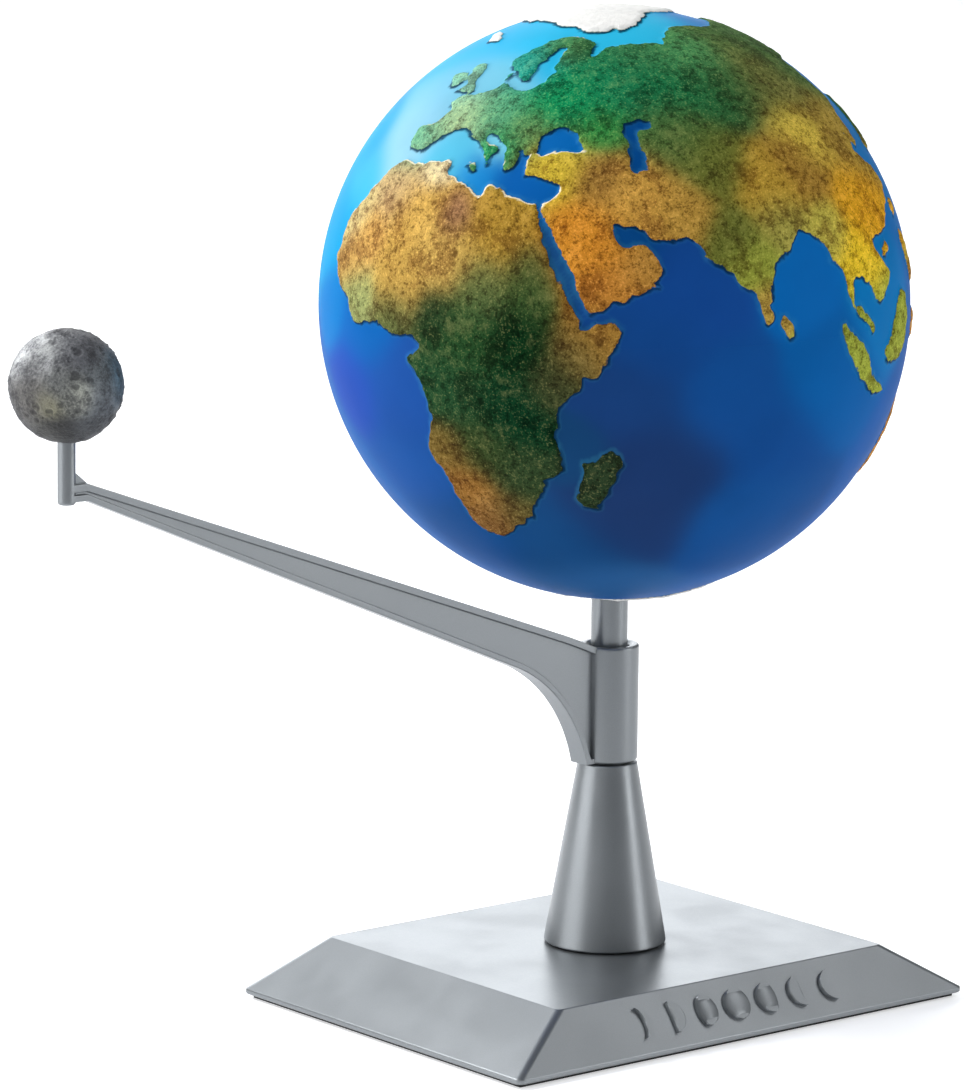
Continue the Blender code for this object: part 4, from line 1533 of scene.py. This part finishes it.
def blend_patches(unit: np.ndarray, patches: tuple[Patch, ...]) -> np.ndarray:
    """Blend soft patches of paint: each one's weight falls off as exp(-(angle / spread)^2).

    A faint weight that falls off as the fourth power of the angle fills what no patch reaches.

    Args:
        unit: Rows of unit vectors, in the axes that the patches' places use.
        patches: The patches.

    Returns:
        Linear colours, one row for each point.
    """
    centres = place_vectors(np.array([[patch.latitude, patch.longitude] for patch in patches]))
    spread = np.radians(np.array([patch.spread for patch in patches]))
    colours = np.stack([srgb(*patch.colour) for patch in patches])
    angle = np.arccos(np.clip(unit @ centres.T, -1, 1))
    weight = np.exp(-((angle / spread) ** 2)) + 1e-3 / (1 + (angle / spread) ** 4)
    return weight @ colours / weight.sum(axis=1, keepdims=True)


@dataclass
class Map:
    """The painted map's place on the globe, and the distances from its coasts.

    turn is how far its Greenwich line is turned round the upright axis from +X, and lean how far its north
    pole then leans about the level line square to facing, both in degrees. fineness is the number of fine
    points on each stretch of an outline.
    """

    turn: float = 180.7
    lean: float = 5.2
    facing: tuple[float, float] = (-0.652, -0.758)
    fineness: int = 7

    def axes(self) -> np.ndarray:
        """Find the map's axes in the world.

        Returns:
            The Greenwich, east and north directions as rows.
        """
        turn = Matrix.Rotation(math.radians(self.turn), 3, "Z")
        pivot = Vector((-self.facing[1], self.facing[0], 0))
        lean = Matrix.Rotation(math.radians(self.lean), 3, pivot)
        return np.array(lean @ turn).T

    def smooth(self, outline: Outline) -> np.ndarray:
        """Draw fine points along an outline: a closed Catmull-Rom curve, pushed onto the unit ball.

        Land and ice run anticlockwise seen from outside, and water runs clockwise.

        Args:
            outline: The outline.

        Returns:
            Rows of unit vectors.
        """
        p1 = place_vectors(np.array(outline.points, dtype=float))
        p0, p2, p3 = np.roll(p1, 1, axis=0), np.roll(p1, -1, axis=0), np.roll(p1, -2, axis=0)
        t = np.linspace(0, 1, self.fineness, endpoint=False)[None, :, None]
        p0, p1, p2, p3 = p0[:, None], p1[:, None], p2[:, None], p3[:, None]
        square = (2 * p0 - 5 * p1 + 4 * p2 - p3) * t ** 2
        cube = (3 * p1 - p0 - 3 * p2 + p3) * t ** 3
        curve = (0.5 * (2 * p1 + (p2 - p0) * t + square + cube)).reshape(-1, 3)
        curve /= np.linalg.norm(curve, axis=1, keepdims=True)
        swept = np.cross(curve, np.roll(curve, -1, axis=0)).sum(axis=0) @ curve.mean(axis=0)
        clockwise = swept < 0
        return curve[::-1] if clockwise != (outline.kind is Kind.WATER) else curve

    def distance(self, unit: np.ndarray, outlines: list[Outline]) -> tuple[np.ndarray, np.ndarray]:
        """Distance from each point to the nearest outline, as a part of the ball's radius.

        The nearest fine point comes from the largest dot product. The point is then dropped onto the two
        edges beside it, and the side it lies on gives the sign.

        Args:
            unit: Rows of unit vectors in the map's axes.
            outlines: The outlines, which don't overlap.

        Returns:
            The distance, positive inside, and the unit vector from land to sea there.
        """
        curves = [self.smooth(outline) for outline in outlines]
        here = np.concatenate(curves)
        ahead = np.concatenate([np.roll(curve, -1, axis=0) for curve in curves])
        back = np.concatenate([np.roll(curve, 1, axis=0) for curve in curves])
        rough = here.astype(np.float32).T
        blocks = np.array_split(unit.astype(np.float32), max(1, len(unit) // 8000))
        nearest = np.concatenate([np.argmax(block @ rough, axis=1) for block in blocks])
        q = here[nearest]
        best = q
        gap = np.linalg.norm(unit - q, axis=1)
        for other in (ahead[nearest], back[nearest]):
            edge = other - q
            length = np.maximum((edge ** 2).sum(axis=1), 1e-12)
            part = np.clip(((unit - q) * edge).sum(axis=1) / length, 0, 1)
            foot = q + edge * part[:, None]
            reach = np.linalg.norm(unit - foot, axis=1)
            best = np.where((reach < gap)[:, None], foot, best)
            gap = np.minimum(gap, reach)
        first, second = ahead[nearest] - q, q - back[nearest]
        first /= np.maximum(np.linalg.norm(first, axis=1, keepdims=True), 1e-12)
        second /= np.maximum(np.linalg.norm(second, axis=1, keepdims=True), 1e-12)
        inward = np.cross(q, first + second)
        sign = np.where(((unit - best) * inward).sum(axis=1) >= 0, 1.0, -1.0)
        away = (best - unit) * sign[:, None]
        away /= np.maximum(np.linalg.norm(away, axis=1, keepdims=True), 1e-9)
        return gap * sign, away


@dataclass
class Globe:
    """The globe: two painted half shells whose land stands proud of the sea.

    bank holds the distances inland, in millimetres, where the land starts to rise and where it is fully up.
    bright_coasts holds the latitude, longitude and spread of each stretch of coast that catches the light.
    """

    wall: float = 2 * MM
    socket_hole: float = 3.85 * MM
    cells: int = 304
    relief: float = 0.55 * MM
    roughness: float = 0.12 * MM
    bank: tuple[float, float] = (-0.25, 0.6)
    light: tuple[float, float] = (0.9, 0.44)
    bright_coasts: tuple[Triple, ...] = (
        (32, 6, 16), (36, 32, 12), (71, 14, 5), (20, -18, 10),
    )
    ragged_coast: tuple[Waves, ...] = (Waves(0.05, 40, 3, 0.25), Waves(0.02, 40, 5, 0.12))
    hills: tuple[Waves, ...] = (Waves(0.035, 48, 7, 0.35), Waves(0.075, 32, 9, 0.35))

    def build(self, paint: bpy.types.Material) -> None:
        """Build and dress both half shells.

        Args:
            paint: The globe's paint.
        """
        low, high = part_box("earth_south")
        radius = (high.x - low.x) / 2
        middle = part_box("earth_north")[1].z - radius
        sphere = Sphere(Vector((0, 0, middle)), radius, self.wall, self.socket_hole, self.cells)
        dress(self.half("globe_north", sphere, True), paint, "earth", "earth_north")
        dress(self.half("globe_south", sphere, False), paint, "earth", "earth_south")

    def brightness(self, unit: np.ndarray) -> np.ndarray:
        """How much the coast near each point shines: the largest exp(-(angle / spread)^4) of bright_coasts.

        Args:
            unit: Rows of unit vectors in the map's axes.

        Returns:
            One number from 0 to 1 for each point.
        """
        places = np.array(self.bright_coasts, dtype=float)
        angle = np.degrees(np.arccos(np.clip(unit @ place_vectors(places[:, :2]).T, -1, 1)))
        return np.exp(-((angle / places[:, 2]) ** 4)).max(axis=1)

    def coast_light(self, unit: np.ndarray, away: np.ndarray) -> np.ndarray:
        """How far each coast faces the light from the north-west: the sea's direction times the light's.

        Args:
            unit: Rows of unit vectors in the map's axes.
            away: Unit vectors from land to sea.

        Returns:
            One number for each point, negative on the coasts in shade and dimmed off the bright ones.
        """
        north = np.array([0, 0, 1.0]) - unit * unit[:, 2:]
        north /= np.maximum(np.linalg.norm(north, axis=1, keepdims=True), 1e-6)
        west = np.cross(unit, north)
        lit = (away * (north * self.light[0] + west * self.light[1])).sum(axis=1)
        return np.where(lit > 0, lit * self.brightness(unit), lit)

    def half(self, name: str, sphere: Sphere, north: bool) -> bpy.types.Object:
        """Build one half shell with its relief and paint layers. Its inside counts as deep sea.

        Args:
            name: The piece's name.
            sphere: The ball.
            north: Whether it is the upper half.

        Returns:
            The new object.
        """
        grid = sphere.directions(north)
        chart = Map()
        unit = grid.reshape(-1, 3) @ chart.axes().T
        small = (*ISLANDS, *NEW_WORLD)
        lands = [OLD_WORLD, AFRICA, *(outline for outline in small if outline.kind is not Kind.ICE)]
        ices = [*ICE, *(outline for outline in small if outline.kind is Kind.ICE)]
        ripple = layered_waves(unit, self.ragged_coast)
        land, land_away = chart.distance(unit, lands)
        ice, ice_away = chart.distance(unit, ices)
        scale = sphere.radius / MM
        land, ice = land * scale + ripple, ice * scale + ripple
        coast = np.maximum(land, ice)
        lit = self.coast_light(unit, np.where((ice > land)[:, None], ice_away, land_away))
        bank = np.clip((coast - self.bank[0]) / (self.bank[1] - self.bank[0]), 0, 1)
        bank = bank * bank * (3 - 2 * bank)
        lift = bank * (self.relief + layered_waves(unit, self.hills) * self.roughness)
        piece = sphere.half(name, north, lift.reshape(grid.shape[:2]), grid)
        sphere.store_layers(piece, north, {
            "coast": (coast, -9.0),
            "lit": (lit, 0.0),
            "ice": (ice, -9.0),
            "land": (blend_patches(unit, LAND_PAINT), srgb(*DEEP_SEA)),
            # The sea layer carries the sea's paint together with its painted reflection.
            "sea": (blend_patches(unit, SEA_PAINT_AND_SHEEN), srgb(*DEEP_SEA)),
        })
        return piece


# --- Moon ---------------------------------------------------------------------------------------

# Moon colours. The pale patch high on the upper left is a painted highlight, the dark patches low on the
# front are painted shade, and the bluish patch on the right, toward the globe, is a painted reflection of its
# blue.
MOON_PAINT_AND_LIGHTING = (
    Patch(46, 178, 22, (184, 186, 188)), Patch(30, 190, 12, (72, 73, 74)),
    Patch(50, 204, 12, (128, 130, 130)), Patch(54, 235, 14, (96, 98, 102)),
    Patch(46, 262, 20, (76, 77, 83)), Patch(17, 278, 18, (90, 96, 100)),
    Patch(-7, 193, 20, (80, 78, 76)), Patch(-12, 216, 12, (114, 112, 92)), Patch(9, 230, 14, (94, 96, 96)),
    Patch(-4, 247, 14, (152, 154, 144)), Patch(-7, 270, 16, (84, 90, 98)), Patch(-42, 211, 16, (50, 50, 47)),
    Patch(-44, 238, 18, (24, 25, 28)), Patch(-35, 262, 16, (62, 65, 70)), Patch(16, 300, 16, (48, 80, 100)),
    Patch(0, 60, 60, (88, 88, 90)), Patch(-30, 100, 40, (70, 70, 74)), Patch(40, 60, 40, (108, 108, 110)),
)


@dataclass
class Moon:
    """The moon: two half shells, pitted all over and cratered.

    Crater sizes are parts of the moon's radius: smallest, plus up to spread on the few large ones.
    """

    wall: float = 1.4 * MM
    peg_hole: float = 1.9 * MM
    cells: int = 200
    craters: int = 760
    seed: int = 21
    smallest: float = 0.024
    spread: float = 0.10
    swell: float = 0.075 * MM
    lumps: tuple[Waves, ...] = (Waves(0.5, 32, 31, 0.5), Waves(0.2, 48, 33, 0.5), Waves(0.085, 64, 35, 0.35))

    def build(self, paint: bpy.types.Material) -> None:
        """Build and dress both half shells.

        Args:
            paint: The moon's paint.
        """
        low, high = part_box("moon_lower")
        radius = (high.x - low.x) / 2
        centre = (low + high) / 2
        centre.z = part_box("moon_upper")[1].z - radius
        sphere = Sphere(centre, radius, self.wall, self.peg_hole, self.cells)
        dress(self.half("moon_top", sphere, True), paint, "moon", "moon_upper")
        dress(self.half("moon_bottom", sphere, False), paint, "moon", "moon_lower")

    def relief(self, unit: np.ndarray) -> np.ndarray:
        """Height of the pitted surface.

        Each crater of size s lowers the surface by a bowl, 1.7 s (1 - (d / s)^2) inside, and raises a narrow
        rim, 0.75 s exp(-((d / s - 1.05) / 0.24)^2), both in millimetres at a distance d. Broad and fine
        random waves roughen the rest.

        Args:
            unit: Rows of unit vectors.

        Returns:
            One height for each point, in metres.
        """
        random = np.random.default_rng(self.seed)
        centres = random.normal(size=(self.craters, 3))
        centres /= np.linalg.norm(centres, axis=1, keepdims=True)
        sizes = self.smallest + self.spread * random.random(self.craters) ** 6
        gap = np.arccos(np.clip(unit @ centres.T, -1, 1)) / sizes
        bowl = -np.clip(1 - gap ** 2, 0, 1) * sizes * 1.7
        rim = np.exp(-(((gap - 1.05) / 0.24) ** 2)) * sizes * 0.75
        return (bowl + rim).sum(axis=1) * MM + layered_waves(unit, self.lumps) * self.swell

    def half(self, name: str, sphere: Sphere, north: bool) -> bpy.types.Object:
        """Build one half shell with its relief and paint layers.

        Args:
            name: The piece's name.
            sphere: The ball.
            north: Whether it is the upper half.

        Returns:
            The new object.
        """
        grid = sphere.directions(north)
        unit = grid.reshape(-1, 3)
        height = self.relief(unit)
        piece = sphere.half(name, north, height.reshape(grid.shape[:2]), grid)
        sphere.store_layers(piece, north, {
            "height": (height / MM * 10, 0.1),
            # This colour layer carries the paint with its painted highlight, painted shade and painted blue
            # reflection.
            "shaded_tint": (blend_patches(unit, MOON_PAINT_AND_LIGHTING), 0.1),
        })
        return piece


# --- Studio -------------------------------------------------------------------------------------


@dataclass(frozen=True)
class Lamp:
    """A rectangular area light that shines at the model's middle."""

    name: str
    place: Triple
    size: tuple[float, float]
    power: float


@dataclass
class Studio:
    """A pale floor, soft lights and the camera.

    The floor glows behind the model, between the two depths of glow_depth along the view. The surround is
    bright where the dot product with bright_side's direction is above the range in bright_range.
    """

    floor_size: float = 6.0
    floor_points: int = 9
    floor_glow: float = 0.45
    glow_depth: tuple[float, float] = (-0.34, -0.08)
    eye: Triple = (-0.73993, -0.86023, 0.30044)
    ahead: Triple = (0.62489, 0.75847, -0.18504)
    right: Triple = (0.77303, -0.63429, 0.01067)
    lens: float = 203.06
    bright_side: Triple = (0.40, 0.905, 0.14)
    bright_range: tuple[float, float] = (0.80, 0.97)
    dim: Triple = (0.20, 0.21, 0.22)
    bright: Triple = (3.0, 3.1, 3.2)
    aim: Triple = (0, 0, 0.1)
    lamps: tuple[Lamp, ...] = (
        Lamp("key", (-0.50, 0.70, 1.05), (0.6, 0.6), 15.0),
        Lamp("front_left", (-1.1, -0.45, 0.85), (0.7, 0.7), 4.0),
        Lamp("left_card", (-1.1, 0.40, 0.26), (0.9, 0.55), 5.0),
        Lamp("right_card", (0.74, -0.95, 0.30), (0.34, 0.75), 4.0),
        Lamp("top_right", (0.90, -0.48, 1.05), (0.6, 0.6), 2.5),
    )

    def build(self) -> None:
        """Lay the floor, set the lights and place the camera."""
        self.floor()
        self.surround()
        for lamp in self.lamps:
            self.light(lamp)
        self.camera()
        log.info("studio ready")

    def floor(self) -> None:
        """Lay a wide flat floor in matt white with a faint mottle."""
        side = np.linspace(-self.floor_size, self.floor_size, self.floor_points)
        x, y = np.meshgrid(side, side, indexing="ij")
        points = np.stack([x, y, 0 * x], axis=-1).reshape(-1, 3)
        quads = grid_faces(self.floor_points, self.floor_points, False, False)
        floor = make_piece("floor", points, Faces(quads))
        shader = Shader("floor_white")
        mottle = shader.noise(0.4, detail=2.0)
        colour = shader.mix(mottle, srgb(244, 245, 246), srgb(240, 241, 243))
        sockets = {0: shader.place, 1: (self.ahead[0], self.ahead[1], 0.0)}
        depth = shader.node("ShaderNodeVectorMath", {"operation": "DOT_PRODUCT"}, sockets)
        behind = Value(shader, depth.outputs["Value"]).step(*self.glow_depth)
        glow = shader.mix(behind, srgb(0, 0, 0), srgb(255, 255, 255))
        shader.join(shader.surface.inputs["Emission Color"], glow)
        finish = shader.finish(colour, mottle * 0.1 + 0.5, Emission_Strength=self.floor_glow)
        floor.data.materials.append(finish)

    def surround(self) -> None:
        """Make a surround that is bright behind the model on the left and dim elsewhere.

        The brightness rises smoothly with the dot product of the direction and the bright side's.
        """
        world = bpy.data.worlds.new("surround")
        world.use_nodes = True
        tree = world.node_tree
        heading = tree.nodes.new("ShaderNodeTexCoord").outputs["Generated"]
        side = tree.nodes.new("ShaderNodeVectorMath")
        side.operation = "DOT_PRODUCT"
        side.inputs[1].default_value = self.bright_side
        tree.links.new(heading, side.inputs[0])
        rise = tree.nodes.new("ShaderNodeMapRange")
        rise.interpolation_type = "SMOOTHSTEP"
        rise.inputs[1].default_value, rise.inputs[2].default_value = self.bright_range
        tree.links.new(side.outputs["Value"], rise.inputs[0])
        blend = tree.nodes.new("ShaderNodeMix")
        blend.data_type = "RGBA"
        blend.inputs[6].default_value = (*self.dim, 1)
        blend.inputs[7].default_value = (*self.bright, 1)
        tree.links.new(rise.outputs[0], blend.inputs[0])
        tree.links.new(blend.outputs[2], tree.nodes["Background"].inputs["Color"])
        bpy.context.scene.world = world

    def light(self, lamp: Lamp) -> None:
        """Hang one lamp and turn it towards the model.

        Args:
            lamp: The lamp.
        """
        source = bpy.data.lights.new(lamp.name, "AREA")
        source.shape = "RECTANGLE"
        source.size, source.size_y = lamp.size
        source.energy = lamp.power
        light = bpy.data.objects.new(lamp.name, source)
        light.location = lamp.place
        heading = Vector(self.aim) - Vector(lamp.place)
        light.rotation_euler = heading.to_track_quat("-Z", "Y").to_euler()
        bpy.context.scene.collection.objects.link(light)

    def camera(self) -> None:
        """Place the camera a little above the globe, looking down at the model."""
        lens = bpy.data.cameras.new("view")
        lens.sensor_fit = "VERTICAL"
        lens.sensor_height = 36.0
        lens.lens = self.lens
        lens.clip_start, lens.clip_end = 0.05, 50
        view = bpy.data.objects.new("view", lens)
        ahead, right = Vector(self.ahead).normalized(), Vector(self.right)
        right = (right - ahead * right.dot(ahead)).normalized()
        turn = Matrix((right, right.cross(ahead), -ahead)).transposed()
        view.matrix_world = Matrix.Translation(Vector(self.eye)) @ turn.to_4x4()
        bpy.context.scene.collection.objects.link(view)
        bpy.context.scene.camera = view


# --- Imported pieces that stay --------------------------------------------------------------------


def dress_packed() -> None:
    """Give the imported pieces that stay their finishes."""
    screw = PlatedSteel().material("screw_steel")
    finishes = {
        "base_plate": PlainMoulding((124, 126, 128)).material("plate_grey"),
        "base_pad": FoamPad().material("pad_black"),
        "earth_socket": PlainMoulding((224, 224, 220), 0.4).material("socket_white"),
        "spindle_screw": screw,
    }
    finishes |= {f"base_screw_{number}": screw for number in range(1, 5)}
    finishes |= {f"column_screw_{number}": screw for number in range(1, 3)}
    for node, material in finishes.items():
        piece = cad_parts[node]
        piece.data.materials.clear()
        piece.data.materials.append(material)
        log.info("%s dressed in %s", node, material.name)


def main() -> None:
    """Build every piece, dress it and light the studio."""
    logging.basicConfig(level=logging.INFO, format="%(name)s: %(message)s")
    silver = SilverMoulding().material("stand_silver")
    stand = Stand()
    stand.build(silver)
    PhaseMotif().build(silver, stand)
    Arm().build(SilverMoulding(light=(134, 138, 141)).material("arm_silver"))
    Globe().build(GlobePaint().material("earth_paint"))
    Moon().build(MoonPaint().material("moon_paint"))
    dress_packed()
    Studio().build()
    bpy.context.scene.view_settings.view_transform = "Standard"


if __name__ == "__main__":
    main()
